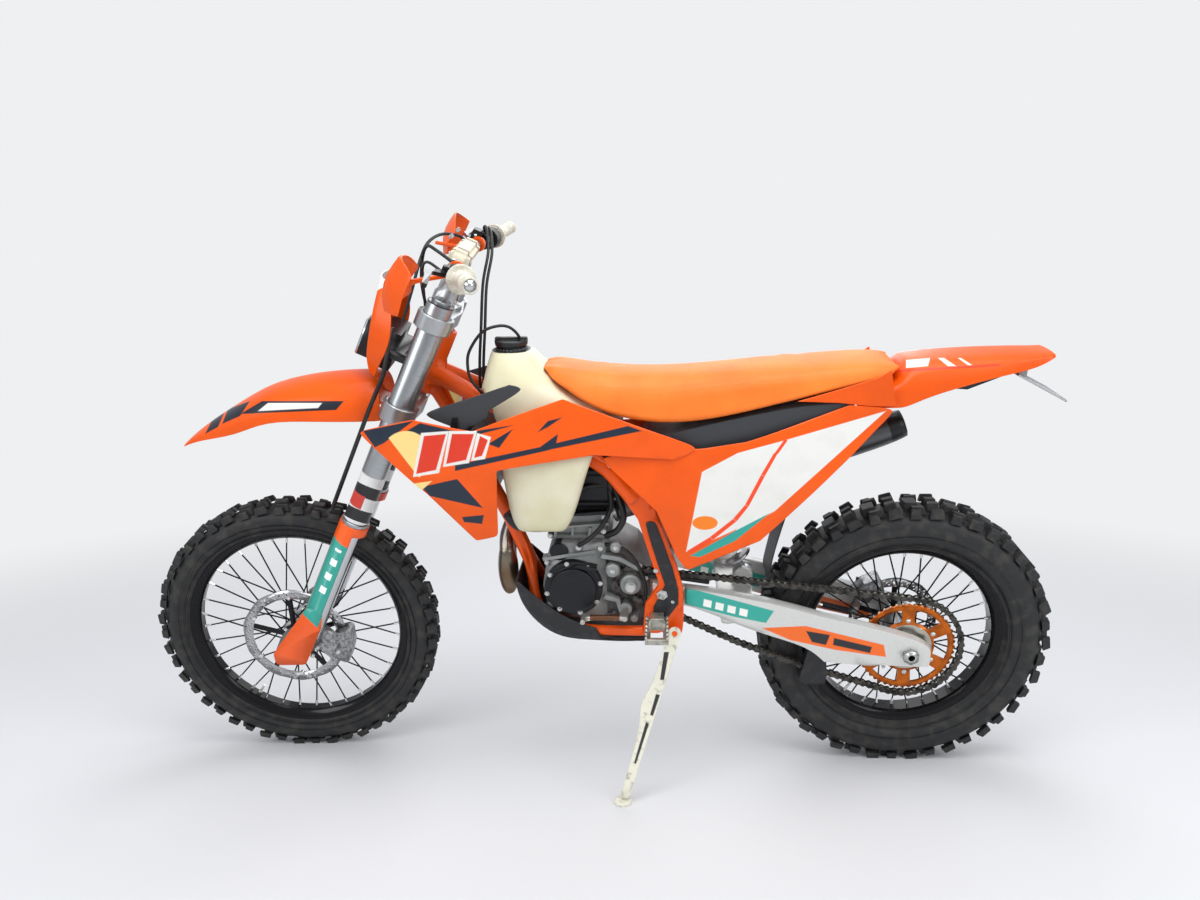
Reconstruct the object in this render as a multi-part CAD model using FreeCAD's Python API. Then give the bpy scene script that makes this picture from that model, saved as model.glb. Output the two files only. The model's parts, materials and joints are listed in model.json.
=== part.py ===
"""Enduro dirt bike, parked on its side stand. Lengths are millimetres and angles are degrees.

The bike is drawn upright: x runs rearward from midway between the axles, y to the rider's
right and z up from the ground. At the end the front end is turned and the bike leans over.
"""
import FreeCAD, Part
import math
import os

V = FreeCAD.Vector

# Driving dimensions of the whole bike
wheelbase = 1487.0
front_tyre_radius = 346.0
rear_tyre_radius = 340.0
rake_deg = 26.1
fork_lead = 37.0
clamp_offset = 22.0
fork_half_spacing = 105.0
steer_deg = 4.35
lean_deg = 11.94
fit_gap = 0.05
seat_gap = 0.3
overrun = 2.0
flatness = 0.001
bend_room_share = 0.45
chord_turn_deg = 40.0

# Reference places on the chassis: swingarm pivot, crankshaft and gearbox output shaft
pivot_x = 172.0
pivot_z = 500.0
crank_x = -34.0
crank_z = 503.0
output_x = 99.0
output_z = 507.0

# Tyres and rims
tyre_crown_drop = 17.0
tyre_bead_gap = 0.3
tyre_bead_inset = 1.5
front_rim_radius = 272.0
front_rim_half = 27.5
front_bead_radius = 261.5
front_bead_half = 20.0
front_rim_well = 249.0
front_rim_well_half = 14.0
front_tyre_half = 43.0
front_tread_half = 40.0
rear_rim_radius = 237.0
rear_rim_half = 33.5
rear_bead_radius = 226.5
rear_bead_half = 27.0
rear_rim_well = 213.0
rear_rim_well_half = 22.0
rear_tyre_half = 62.0
rear_tread_half = 58.0
front_knob_count = 25
rear_knob_count = 24
knob_length = 26.0
knob_taper = 3.0
shoulder_knob_width = 17.0
knob_root = 3.0
shoulder_drop = 6.8
tyre_side_share = 0.52
center_knob_share = 0.42

# Hubs, spokes, axles and brake discs
spoke_count = 36
spoke_radius = 1.9
spoke_circle = 29.0
spoke_cross_deg = 70.0
spoke_rim_y = 5.0
spoke_head_y = 2.7
spoke_end_gap = 0.3
front_axle_radius = 13.0
front_axle_bore = 9.5
front_axle_half = 128.0
front_hub_half = 62.0
front_hub_flange_radius = 36.0
front_hub_barrel_radius = 23.0
front_hub_flange_width = 6.0
front_hub_flange_y = 34.0
rear_axle_radius = 12.5
rear_axle_bore = 8.0
rear_axle_half = 131.0
rear_hub_half = 86.0
rear_hub_flange_radius = 40.0
rear_hub_barrel_radius = 28.0
rear_hub_flange_width = 7.0
rear_hub_flange_y = 36.0
front_disc_radius = 130.0
front_disc_band = 24.0
front_disc_y = -54.0
rear_disc_radius = 110.0
rear_disc_band = 24.0
rear_disc_y = 62.0
disc_thickness = 3.0
disc_wave = 3.0
disc_wave_count = 10
disc_arm_count = 5
disc_arm_width = 13.0
disc_mount_radius = 34.0

# Chain and sprockets
chain_y = -76.0
chain_link_height = 13.0
chain_band_height = 10.0
chain_plate_width = 18.0
chain_band_width = 13.0
chain_pitch = 15.875
rear_chain_radius = 125.5
rear_sprocket_radius = 113.5
rear_sprocket_tooth = 6.0
rear_sprocket_teeth = 48
rear_sprocket_thickness = 6.0
rear_sprocket_window_count = 6
rear_sprocket_window_inner = 64.0
rear_sprocket_window_outer = 96.0
rear_sprocket_bore = 40.2
front_sprocket_radius = 27.5
front_sprocket_teeth = 13
front_chain_radius = 34.3
chain_sag = 20.0
chain_plate_share = 1.1
chain_slack_shares = ((0.3, 0.8), (0.55, 0.95), (0.8, 0.3))
rear_wrap_steps = 12
front_wrap_steps = 6

# Fork, in its own frame: x rearward and z up along the legs, from the front axle
fork_tube_radius = 29.0
fork_tube_bottom = 376.0
fork_tube_top = 944.0
fork_ring_radius = 31.5
fork_ring_height = 18.0
fork_cap_height = 8.0
fork_cap_radius = 22.0
fork_leg_radius = 24.0
fork_lug_length = 92.0
fork_lug_width = 30.0
fork_lug_drop = 26.0
fork_lug_half_y = 11.0
guard_gap = 1.5
guard_thickness = 3.0
guard_bottom = 104.0
guard_foot_drop = 36.0
guard_ring_height = 22.0
guard_rib = 12.0
lower_clamp_bottom = 660.0
lower_clamp_height = 40.0
upper_clamp_bottom = 884.0
upper_clamp_height = 34.0
clamp_wall = 12.0
clamp_front_reach = 22.0
stem_radius = 15.0
stem_nut_radius = 19.0
stem_nut_height = 12.0

# Handlebar and what it carries, in the fork's frame
bar_radius = 14.0
bar_grip_radius = 11.1
bar_center_x = 36.0
bar_center_height = 1000.0
bar_center_half = 62.0
bar_rise_half = 165.0
bar_rise_x = 44.0
bar_rise_height = 1038.0
bar_grip_start = 282.0
bar_grip_start_x = 65.0
bar_grip_start_height = 1049.0
bar_end_half = 402.0
bar_end_x = 94.0
bar_end_height = 1072.0
bar_bend = 60.0
riser_half_spacing = 42.0
riser_half_length = 15.0
riser_half_width = 24.0
grip_radius = 17.0
grip_flange_radius = 31.0
grip_flange_width = 5.0
bar_pad_half = 98.0
bar_pad_height = 36.0
bar_pad_depth = 44.0
handguard_thickness = 3.5
handguard_height = 150.0
handguard_half_y = 78.0
handguard_center_y = 318.0
handguard_front = -62.0
handguard_shares = (
    (-1.0, 0.45, 0.17, 0.2),
    (-0.25, 0.85, 0.3, 0.39),
    (0.5, 1.0, 0.32, 0.4),
    (1.0, 0.2, 0.24, 0.3),
)
handguard_arm_radius = 5.0
lever_thickness = 8.0
lever_width = 12.0
lever_reach = 150.0
perch_length = 44.0
perch_radius = 19.0
perch_drift_x = 9.8
perch_drift_z = 5.1
switch_radius = 22.0
throttle_radius = 27.0
master_length = 40.0
master_radius = 12.0
reservoir_height = 24.0
throttle_length = 32.0

# Front mudguard, headlight mask and lamp, in the fork's frame
mudguard_thickness = 3.0
mudguard_reach = 400.0
mudguard_half = 96.0
mudguard_shares = (
    ((-1.005, -0.761), (-1.0, -0.77), 0.08),
    ((-0.943, -0.614), (-0.919, -0.664), 0.36),
    ((-0.771, -0.352), (-0.7, -0.495), 0.75),
    ((-0.646, -0.182), (-0.575, -0.325), 0.94),
    ((-0.406, -0.006), (-0.308, -0.206), 1.0),
    ((-0.197, 0.102), (-0.093, -0.111), 0.98),
    ((-0.085, 0.14), (0.02, -0.06), 0.9),
)
mudguard_arch_shares = ((-1, 0), (-0.97, 0.5), (-0.6, 0.9), (0, 1), (0.6, 0.9), (0.97, 0.5), (1, 0))
mask_thickness = 3.0
mask_top = 930.0
mask_front = -116.0
mask_half = 118.0
mask_shares = (
    (1.0, 1.0, 0.91, 0.44, 0.72, 0.52),
    (0.946, 0.93, 0.83, 0.71, 0.45, 0.88),
    (0.882, 0.845, 0.72, 0.81, 0.26, 1.0),
    (0.817, 0.74, 0.64, 0.71, 0.34, 0.83),
    (0.775, 0.525, 0.48, 0.52, 0.36, 0.61),
)
lamp_z = 746.0
lamp_lens_half = 46.0
lamp_lens_height = 84.0
caliper_depth = 44.0
caliper_inside = 17.0
caliper_outside = 30.0
caliper_half_angle = 19.0
front_caliper_angle = -8.0
rear_caliper_angle = 128.0
disc_clearance = 5.5
front_hose_radius = 5.0
front_hose_stand_off = 22.0
lamp_depth = 42.0
lamp_half_width = 62.0
lamp_height = 88.0
lamp_lens_thickness = 4.0

# Main frame
head_tube_radius = 29.0
head_tube_gap = 14.0
head_bore_radius = 21.0
head_bearing_height = 12.0
spar_radius = 19.0
spar_bend = 70.0
down_tube_radius = 19.0
cradle_radius = 13.0
cradle_half_y = 92.0
cradle_bend = 60.0
pivot_plate_inner = 108.0
pivot_plate_thickness = 18.0
frame_guard_thickness = 2.5
tie_low_x = 142.0
tie_low_z = 406.0
shock_mount_shares = ((-0.12, -0.3), (-0.12, 0.8), (0.1, 0.85), (1.0, 0.85), (1.16, 0.4), (1.0, -0.05))
spar_front_x = -225.0
spar_front_y = 44.0
spar_front_z = 945.0
spar_middle_x = 50.0
spar_middle_y = 104.0
spar_middle_z = 806.0
spar_end_x = 112.0
spar_end_z = 730.0
down_middle_x = -190.0
down_middle_z = 640.0
down_low_x = -146.0
down_low_z = 520.0
cradle_drop = 70.0
cradle_x = -85.0
cradle_z = 386.0
cradle_length = 215.0
pivot_plate_x = 84.0
pivot_plate_z = 398.0
pivot_plate_length = 136.0
pivot_plate_height = 372.0
pivot_plate_corner = 16.0
pivot_plate_shares = (
    (0.0, 0.93), (0.26, 0.77), (0.48, 0.48), (0.6, 0.34), (0.36, 0.2), (0.3, 0.0),
    (0.62, 0.0), (1.0, 0.2), (1.0, 0.31), (0.9, 0.46), (0.54, 0.84), (0.26, 1.0),
)
frame_guard_shares = (
    (0.36, 0.77), (0.57, 0.49), (0.7, 0.34), (0.5, 0.19), (0.48, 0.08),
    (0.66, 0.07), (0.92, 0.21), (0.92, 0.31), (0.82, 0.46), (0.55, 0.76),
)

# Engine
case_half_y = 84.0
cover_depth = 34.0
cover_step = 12.0
ignition_radius = 71.0
case_inner_y = 61.0
case_x = -108.0
case_z = 415.0
case_length = 258.0
case_height = 195.0
case_corner = 14.0
case_shares = (
    (0.03, 0.18), (0.0, 0.44), (0.06, 0.88), (0.18, 1.0), (0.6, 1.0),
    (0.86, 0.8), (0.98, 0.56), (0.98, 0.2), (0.86, 0.0), (0.2, 0.0),
)
case_front_shares = (
    (0.03, 0.18), (0.0, 0.44), (0.06, 0.88), (0.18, 1.0), (0.58, 1.0), (0.58, 0.0), (0.2, 0.0),
)
output_shaft_radius = 15.0
cylinder_half_y = 62.0
cylinder_x = -95.0
cylinder_z = 610.3
cylinder_shares = (
    (0.12, 1.0, 0.0), (0.85, 0.9, 0.05), (1.0, 1.0, 0.0), (1.7, 0.92, 0.03), (1.85, 1.0, 0.0), (2.1, 0.7, 0.12),
)
cylinder_length = 150.0
head_height = 84.0
cylinder_height = 92.0
header_radius = 19.0
header_bend = 55.0
header_y = 84.0
header_port_z = 650.0
header_back_z = 670.0
chamber_x = -204.0
chamber_z = 500.0
chamber_radius = 27.0
chamber_flats = 10
chamber_half_length = 64.0
silencer_radius = 42.0
silencer_x = 420.0
silencer_y = 96.0
silencer_z = 728.0
silencer_end_x = 742.0
silencer_end_y = 100.0
silencer_end_z = 836.0
silencer_cap_length = 34.0
silencer_flats = 16
silencer_shares = ((0.0, 0.5), (0.12, 1.0), (0.86, 1.0), (1.0, 0.78))

# Swingarm, shock absorber and stand
arm_inner = 90.0
arm_thickness = 28.0
arm_front_inner = 86.0
arm_front_outer = 106.0
arm_x = 150.0
arm_z = 309.0
arm_length = 640.0
arm_height = 214.0
arm_shares = (
    (0.119, 0.94), (0.352, 0.84), (0.58, 0.64), (0.81, 0.47), (0.95, 0.36), (1.0, 0.22), (1.0, 0.0),
    (0.83, 0.015), (0.562, 0.24), (0.378, 0.4), (0.239, 0.6), (0.119, 0.74),
)
arm_tab_shares = ((0.84, 0.1), (0.83, 0.02), (0.76, 0.0), (0.62, 0.05), (0.56, 0.25), (0.6, 0.4))
arm_front_shares = ((0.0, 0.98), (0.235, 0.88), (0.235, 0.61), (0.0, 0.8))
arm_bridge_shares = ((0.234, 0.775), (0.367, 0.76), (0.34, 0.46), (0.25, 0.44))
arm_ear_shares = ((0.3, 0.7), (0.37, 0.7), (0.37, 0.94), (0.33, 0.98), (0.3, 0.9))
pivot_tube_radius = 19.0
axle_nut_radius = 19.0
axle_nut_width = 12.0
slider_x = 130.0
slider_length = 150.0
slider_width = 20.0
guide_x = 496.0
guide_z = 240.0
guide_length = 66.0
guide_height = 118.0
guide_wall = 4.0
guide_shares = ((0.0, 0.1), (0.2, 0.0), (0.95, 0.0), (1.0, 0.5), (0.8, 0.95), (0.35, 1.0))
shock_low_x = 372.0
shock_low_z = 498.0
shock_high_x = 215.0
shock_high_z = 745.0
shock_eye_radius = 16.0
shock_eye_width = 26.0
shock_body_radius = 23.0
shock_shaft_radius = 8.0
shock_neck = 34.0
shock_neck_radius = 12.0
shock_seat_radius = 41.0
shock_seat_width = 6.0
shock_low_seat_share = 0.17
shock_high_seat_share = 0.72
shock_ear_width = 8.0
spring_radius = 33.5
spring_wire = 6.0
spring_turns = 6
spring_turn_steps = 8
rear_caliper_in = 22.0
rear_caliper_out = 26.0
stand_foot_x = 79.3
stand_foot_y = -304.6
stand_pivot_x = 200.0
stand_pivot_y = -136.0
stand_pivot_z = 404.0
stand_folded_x = 0.95
stand_folded_y = -0.15
stand_folded_z = -0.27
stand_width = 27.0
stand_thickness = 14.0
stand_foot_half = 21.0
stand_foot_thickness = 7.0
stand_pin_radius = 6.0
stand_eye_radius = 16.0
stand_boss_radius = 12.0
stand_boss_length = 20.0
stand_boss_gap = 1.0
stand_web_thickness = 8.0
stand_web_shares = ((0.6, 0.02), (0.95, 0.18), (1.01, 0.18), (1.01, -0.01), (0.9, -0.05), (0.7, -0.04))
stand_leg_shares = (
    (0.0, -0.5), (0.12, -0.52), (0.3, -0.5), (0.4, -0.95), (0.47, -0.95), (0.56, -0.42), (0.97, -0.38),
    (0.97, 0.38), (0.5, 0.4), (0.12, 0.5), (0.0, 0.5),
)

# Controls for the feet, and guards below the engine
peg_x = 160.0
peg_z = 440.0
peg_length = 104.0
peg_width = 52.0
peg_height = 12.0
peg_tooth = 5.0
peg_tooth_count = 6
peg_lug = 30.0
gear_shaft_x = 86.0
gear_shaft_z = 443.0
gear_shaft_radius = 6.5
gear_outer_y = -136.0
gear_tip_x = -9.0
gear_tip_y = -150.0
gear_tip_z = 453.0
gear_peg_length = 26.0
pedal_pivot_x = 138.0
pedal_pivot_z = 402.0
pedal_y = 142.0
pedal_radius = 7.0
pedal_middle_x = 60.0
pedal_middle_z = 398.0
pedal_tip_x = -24.0
pedal_tip_y = 150.0
pedal_tip_z = 424.0
pedal_pad = 30.0
pedal_stand_off = 2.4
skid_half = 110.0
skid_thickness = 4.0
skid_x = -170.5
skid_z = 366.0
skid_length = 301.0
skid_height = 180.0
skid_floor_shares = (
    (0.0, 0.86), (0.03, 0.55), (0.15, 0.25), (0.33, 0.02), (0.61, 0.0), (1.0, 0.0),
)
skid_top_shares = ((1.0, 0.03), (0.66, 0.03), (0.62, 0.2), (0.42, 0.3), (0.2, 0.58), (0.03, 0.86))

# Subframe and airbox, radiators, intake, lamp and plate at the rear
airbox_half = 110.4
airbox_x = 95.0
airbox_z = 760.0
airbox_length = 545.0
airbox_height = 200.0
airbox_shares = (
    (0.0, 0.15), (0.1, 0.56), (0.19, 0.615), (0.675, 0.935), (0.9036, 0.93), (0.9036, 0.62),
    (0.477, 0.2), (0.2, 0.1), (0.05, 0.08),
)
airbox_low_from = -100.0
airbox_low_to = 50.0
airbox_low_shares = ((0.43, 0.2), (0.93, 0.62), (0.82, 0.0), (0.63, -0.35), (0.56, -0.3), (0.45, 0.05))
flap_half = 55.0
flap_thickness = 3.0
flap_shares = ((0.69, -0.24), (0.63, -0.8), (0.595, -1.3))
radiator_x = -285.0
radiator_z = 690.0
radiator_length = 59.0
radiator_height = 215.0
radiator_inner = 62.0
radiator_outer = 162.0
radiator_shares = ((0.0, 1.0), (0.61, 1.0), (1.0, 0.0), (0.39, 0.0))
radiator_lug_width = 12.0
radiator_lug_shares = ((0.1, 0.99), (0.6, 0.99), (1.1, 1.2), (0.7, 1.24))
radiator_boss_shares = ((0.05, 0.99), (0.39, 0.99), (0.45, 1.163), (0.25, 1.163))
intake_radius = 26.0
intake_start_z = 655.0
intake_end_x = 205.0
intake_end_z = 700.0
intake_box_radius = 33.0
intake_box_length = 60.0
lamp_tail_x = 752.0
lamp_tail_z = 956.0
lamp_tail_length = 164.0
lamp_tail_height = 62.0
lamp_tail_half = 46.0
lamp_tail_spine = 15.0
lamp_tail_shares = ((0.0, 0.1), (0.5, 0.0), (0.93, 0.46), (0.93, 0.72), (0.0, 0.72))
lamp_tail_spine_shares = ((0.2, 0.6), (0.5, 0.6), (0.5, 1.3), (0.2, 1.3))
lamp_tail_lens_shares = ((0.935, 0.46), (1.0, 0.5), (1.0, 0.74), (0.935, 0.72))
plate_x = 930.0
plate_z = 930.0
plate_length = 110.0
plate_height = 64.0
plate_half = 62.0
plate_shares = ((0.0, 0.92), (0.03, 0.98), (1.0, 0.06), (0.97, 0.0))
plate_block_half = 24.0
plate_block_shares = ((0.0, 0.93), (0.3, 0.66), (0.34, 1.66), (0.02, 1.66))
hose_radius = 4.5
hose_bend = 60.0

# Bodywork
panel_thickness = 3.0
panel_corner = 9.0
shroud_half = 230.0
shroud_shares = (
    (0.0, 0.865), (0.159, 0.923), (0.326, 0.814), (0.589, 1.0), (1.0, 0.617), (0.912, 0.547),
    (0.679, 0.608), (0.39, 0.537), (0.378, 0.023), (0.312, 0.0), (0.185, 0.402),
)
shroud_station_shares = (
    (-0.02, ((-0.1, 1.0), (0.5, 1.01), (1.1, 1.0))),
    (0.17, ((-0.1, 0.86), (0.5, 0.97), (1.1, 0.88))),
    (0.38, ((-0.1, 0.76), (0.55, 0.84), (1.1, 0.7))),
    (0.6, ((0.0, 0.74), (0.6, 0.73), (1.1, 0.62))),
    (1.02, ((0.2, 0.58), (0.6, 0.56), (0.9, 0.55))),
)
shroud_x = -462.0
shroud_z = 662.0
shroud_length = 725.0
shroud_height = 311.0
panel_x = 36.0
panel_z = 570.0
panel_length = 636.0
panel_height = 373.0
panel_half = 152.0
side_panel_shares = (
    (0.0, 0.718), (0.362, 0.761), (0.5, 0.799), (0.546, 0.823), (0.843, 1.0), (1.0, 0.976),
    (0.87, 0.737), (0.555, 0.201), (0.302, 0.0), (0.264, 0.1), (0.197, 0.391),
)
side_panel_station_shares = (
    (-0.02, ((-0.1, 0.99), (0.5, 0.97), (1.1, 0.8))),
    (0.3, ((-0.1, 0.96), (0.4, 0.98), (1.1, 0.72))),
    (0.62, ((0.1, 0.98), (0.55, 0.98), (1.1, 0.76))),
    (1.02, ((0.4, 0.88), (0.8, 0.76), (1.1, 0.72))),
)
spoiler_x = -345.0
spoiler_z = 911.0
spoiler_length = 230.0
spoiler_height = 91.0
spoiler_y = 168.0
spoiler_shares = ((0.0, 0.42), (0.85, 1.0), (1.0, 0.89), (0.66, 0.43), (0.63, 0.23), (0.41, 0.0))
tank_x = -226.0
tank_z = 880.0
tank_length = 316.0
tank_height = 172.0
tank_half = 118.0
tank_clearance = 0.5
tank_neck_radius = 32.0
tank_neck_height = 10.0
tank_cap_x = -162.0
tank_cap_radius = 38.0
tank_cap_height = 12.0
tank_shares = (
    (0.0, 0.03, 1.0, 0.96, 0.9),
    (0.26, 0.0, 0.86, 1.0, 0.92),
    (0.54, 0.0, 0.58, 0.95, 0.92),
    (0.78, 0.02, 0.44, 0.74, 0.66),
    (1.0, 0.06, 0.36, 0.42, 0.38),
)
tank_lobe_x = -181.0
tank_lobe_z = 658.0
tank_lobe_length = 213.0
tank_lobe_height = 232.0
tank_lobe_inner = 106.0
tank_lobe_outer = 161.0
tank_lobe_shares = (
    (0.0, 0.18, 0.62, 1.0, 0.88),
    (0.1, 0.08, 0.73, 1.0, 0.97),
    (0.6, 0.02, 0.89, 1.0, 1.0),
    (0.82, 0.0, 0.98, 1.0, 1.0),
    (1.0, 0.0, 1.0, 0.8, 0.74),
)
seat_x = -86.0
seat_z = 885.0
seat_length = 768.0
seat_height = 147.0
seat_half = 115.0
seat_crown = 10.0
seat_shares = (
    (0.0, 0.9, 0.83, 0.3, 0.45),
    (0.05, 0.95, 0.68, 0.45, 0.75),
    (0.19, 0.8, 0.2, 0.62, 0.95),
    (0.41, 0.776, 0.08, 0.74, 1.0),
    (0.67, 0.905, 0.42, 0.8, 0.98),
    (0.94, 1.0, 0.74, 0.66, 0.86),
    (1.0, 0.9, 0.8, 0.55, 0.7),
)
tail_x = 588.0
tail_z = 932.0
tail_length = 421.0
tail_height = 104.0
tail_half = 108.0
tail_shares = (
    (0.0, 0.38, 0.03, 1.0),
    (0.215, 0.5, 0.0, 0.96),
    (0.255, 0.9, 0.02, 0.94),
    (0.39, 0.94, 0.26, 0.86),
    (0.74, 1.0, 0.6, 0.7),
    (0.91, 1.0, 0.7, 0.58),
    (1.0, 0.98, 0.9, 0.46),
)
tail_thickness = 4.0


def spots(corner, size, shares):
    """Points of an outline, from shares of a piece's length and height counted from its corner."""
    return [(corner[0] + size[0] * a, corner[1] + size[1] * b) for a, b in shares]


def rounded_edges(points, radius, closed):
    """Straight runs whose corners are eased by two flats along a tangent arc, as far as there is room."""
    count = len(points)
    corners = range(count) if closed else range(1, count - 1)
    starts = dict()
    ends = dict()
    arcs = dict()
    for i in corners:
        here = points[i]
        before = points[i - 1] - here
        after = points[(i + 1) % count] - here
        half = before.getAngle(after) / 2
        if radius <= 0 or half > math.pi / 2 * 0.995:
            starts[i] = ends[i] = here
            continue
        reach = min(radius / math.tan(half), 0.45 * before.Length, 0.45 * after.Length)
        bend = reach * math.tan(half)
        a = here + V(before).normalize() * reach
        b = here + V(after).normalize() * reach
        middle = V(before).normalize() + V(after).normalize()
        apex = here + middle.normalize() * (bend / math.sin(half) - bend)
        starts[i], ends[i] = a, b
        arcs[i] = [Part.LineSegment(a, apex).toShape(), Part.LineSegment(apex, b).toShape()]
    edges = []
    for i in range(count if closed else count - 1):
        a = ends.get(i, points[i])
        b = starts.get((i + 1) % count, points[(i + 1) % count])
        if i in arcs:
            edges += arcs[i]
        if (b - a).Length > 1e-6:
            edges.append(Part.LineSegment(a, b).toShape())
    return edges


def rounded_wire(points, radius, closed=True):
    return Part.Wire(rounded_edges(points, radius, closed))


def slab(outline, y_from, y_to, corner=0):
    """A plate of an outline in x and z, between two values of y."""
    points = [V(x, y_from, z) for x, z in outline]
    face = Part.Face(rounded_wire(points, corner))
    return face.extrude(V(0, y_to - y_from, 0))


def chorded(points, bend):
    """A path whose corners are rounded by a few straight chords, each turning it a little."""
    path = [V(*p) for p in points]
    line = [path[0]]
    for before, here, after in zip(path, path[1:], path[2:]):
        back = before - here
        ahead = after - here
        half = back.getAngle(ahead) / 2
        turn = math.pi - 2 * half
        reach = min(bend / math.tan(half), bend_room_share * back.Length, bend_room_share * ahead.Length)
        radius = reach * math.tan(half)
        a = here + V(back).normalize() * reach
        b = here + V(ahead).normalize() * reach
        inward = (V(back).normalize() + V(ahead).normalize()).normalize()
        arc = Part.Arc(a, here + inward * (radius / math.sin(half) - radius), b)
        steps = max(1, round(math.degrees(turn) / chord_turn_deg))
        span = arc.LastParameter - arc.FirstParameter
        line += [arc.value(arc.FirstParameter + span * i / steps) for i in range(steps + 1)]
    return line + [path[-1]]


def tube(points, radius, bend, sides=8):
    """A bar of many flats, mitred along straight runs and chorded bends."""
    line = chorded(points, bend)
    circle = Part.makeCircle(radius, line[0], line[1] - line[0])
    corners = [circle.valueAt(2 * math.pi * i / sides) for i in range(sides)]
    section = Part.makePolygon(corners + corners[:1])
    return Part.makePolygon(line).makePipeShell([section], True, False, 1)


def rod(start, end, radius):
    start, end = V(*start), V(*end)
    return Part.makeCylinder(radius, (end - start).Length, start, end - start)


def prism(start, end, radius, sides=12, hugging=False):
    """A many-sided bar whose corners lie on a radius, or whose flats do where it hugs a round one."""
    start, end = V(*start), V(*end)
    reach = radius / math.cos(math.pi / sides) if hugging else radius
    circle = Part.makeCircle(reach, start, end - start)
    corners = [circle.valueAt(2 * math.pi * (i + 0.5) / sides) for i in range(sides)]
    return Part.Face(Part.makePolygon(corners + corners[:1])).extrude(end - start)


def puck(x, z, radius, y_from, y_to, sides=12, hugging=False):
    return prism((x, y_from, z), (x, y_to, z), radius, sides, hugging)


def post(x, y, z_from, z_to, radius, sides=12, hugging=False):
    return prism((x, y, z_from), (x, y, z_to), radius, sides, hugging)


def turned(profile, center=(0, 0)):
    """A turned piece about a wheel axle, from radius and y pairs."""
    points = [V(center[0] + r, y, center[1]) for r, y in profile]
    face = Part.Face(Part.makePolygon(points + points[:1]))
    return face.revolve(V(center[0], 0, center[1]), V(0, 1, 0), 360)


def flat_patch(corners):
    """One flat face through four corners, or two triangles along the shorter diagonal."""
    a, b, c, d = corners
    normal = (c - a).cross(d - b)
    if normal.Length < flatness:
        return []
    bow = abs((b - a).dot(normal)) / normal.Length
    if bow < flatness:
        rings = [[a, b, c, d]]
    elif (c - a).Length < (d - b).Length:
        rings = [[a, b, c], [a, c, d]]
    else:
        rings = [[a, b, d], [b, c, d]]
    return [Part.Face(Part.makePolygon(ring + ring[:1])) for ring in rings]


def skin(rings, closed=False):
    """A solid of flat faces between rings of points, capped at both ends or closed on itself."""
    faces = []
    following = rings[1:] + rings[:1] if closed else rings[1:]
    for low, high in zip(rings, following):
        for i, corner in enumerate(low):
            j = (i + 1) % len(low)
            faces += flat_patch([corner, low[j], high[j], high[i]])
    if not closed:
        faces += [Part.Face(Part.makePolygon(ring + ring[:1])) for ring in (rings[0], rings[-1])]
    shell = Part.makeShell(faces)
    shell.sewShape()
    solid = Part.makeSolid(shell)
    if solid.Volume < 0:
        solid.reverse()
    return solid


def loft(sections):
    """A flat-faced solid through closed outlines, each a list of x, y and z."""
    return skin([[V(*p) for p in section] for section in sections])


def facetted(profile, count, center):
    """A ring of flats about an axle, from a closed profile of radius and y pairs."""
    rings = []
    for i in range(count):
        turn = 2 * math.pi * (i + 0.5) / count
        swell = 1 / math.cos(math.pi / count)
        ring = [(center[0] + r * swell * math.sin(turn), y, center[1] + r * swell * math.cos(turn)) for r, y in profile]
        rings.append([V(*p) for p in ring])
    return skin(rings, closed=True)


def thicken(points, thickness):
    """Closes an open line of pairs into a strip, by a second line set off to its right."""
    inner = []
    for i, (a, b) in enumerate(points):
        before = points[max(i - 1, 0)]
        after = points[min(i + 1, len(points) - 1)]
        run = V(after[0] - before[0], after[1] - before[1], 0).normalize()
        inner.append((a + run.y * thickness, b - run.x * thickness))
    return points + inner[::-1]


def mirrored(shape):
    return shape.mirror(V(0, 0, 0), V(0, 1, 0))


def both_sides(shape):
    return [shape, mirrored(shape)]


def fused(shapes):
    return shapes[0].multiFuse(shapes[1:]).removeSplitter() if len(shapes) > 1 else shapes[0]


def without(shape, cutters):
    return shape.cut(Part.makeCompound(cutters))


def around(shape, count, center, first=0):
    """Copies of a shape turned evenly about an axle."""
    copies = []
    for i in range(count):
        copy = shape.copy()
        copy.rotate(V(center[0], 0, center[1]), V(0, 1, 0), first + 360 * i / count)
        copies.append(copy)
    return copies


front_axle = (-wheelbase / 2, front_tyre_radius)
rear_axle = (wheelbase / 2, rear_tyre_radius)
rake = math.radians(rake_deg)
steer_x = fork_lead + clamp_offset


def from_fork(shape):
    """Takes a piece from the fork's own frame to the bike's."""
    copy = shape.copy()
    copy.rotate(V(0, 0, 0), V(0, 1, 0), rake_deg)
    copy.translate(V(front_axle[0], 0, front_axle[1]))
    return copy


def fork_point(x, z, y=0):
    """A point of the fork's own frame, in the bike's."""
    return (
        front_axle[0] + x * math.cos(rake) + z * math.sin(rake),
        y,
        front_axle[1] - x * math.sin(rake) + z * math.cos(rake),
    )


nodes = {}


def keep(name, solids):
    """Holds a piece under its name, as one solid or as several that don't touch."""
    shapes = solids if isinstance(solids, list) else [solids]
    found = [s for shape in shapes for s in shape.Solids]
    nodes[name] = found[0] if len(found) == 1 else Part.makeCompound(found)


# Wheels


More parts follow.
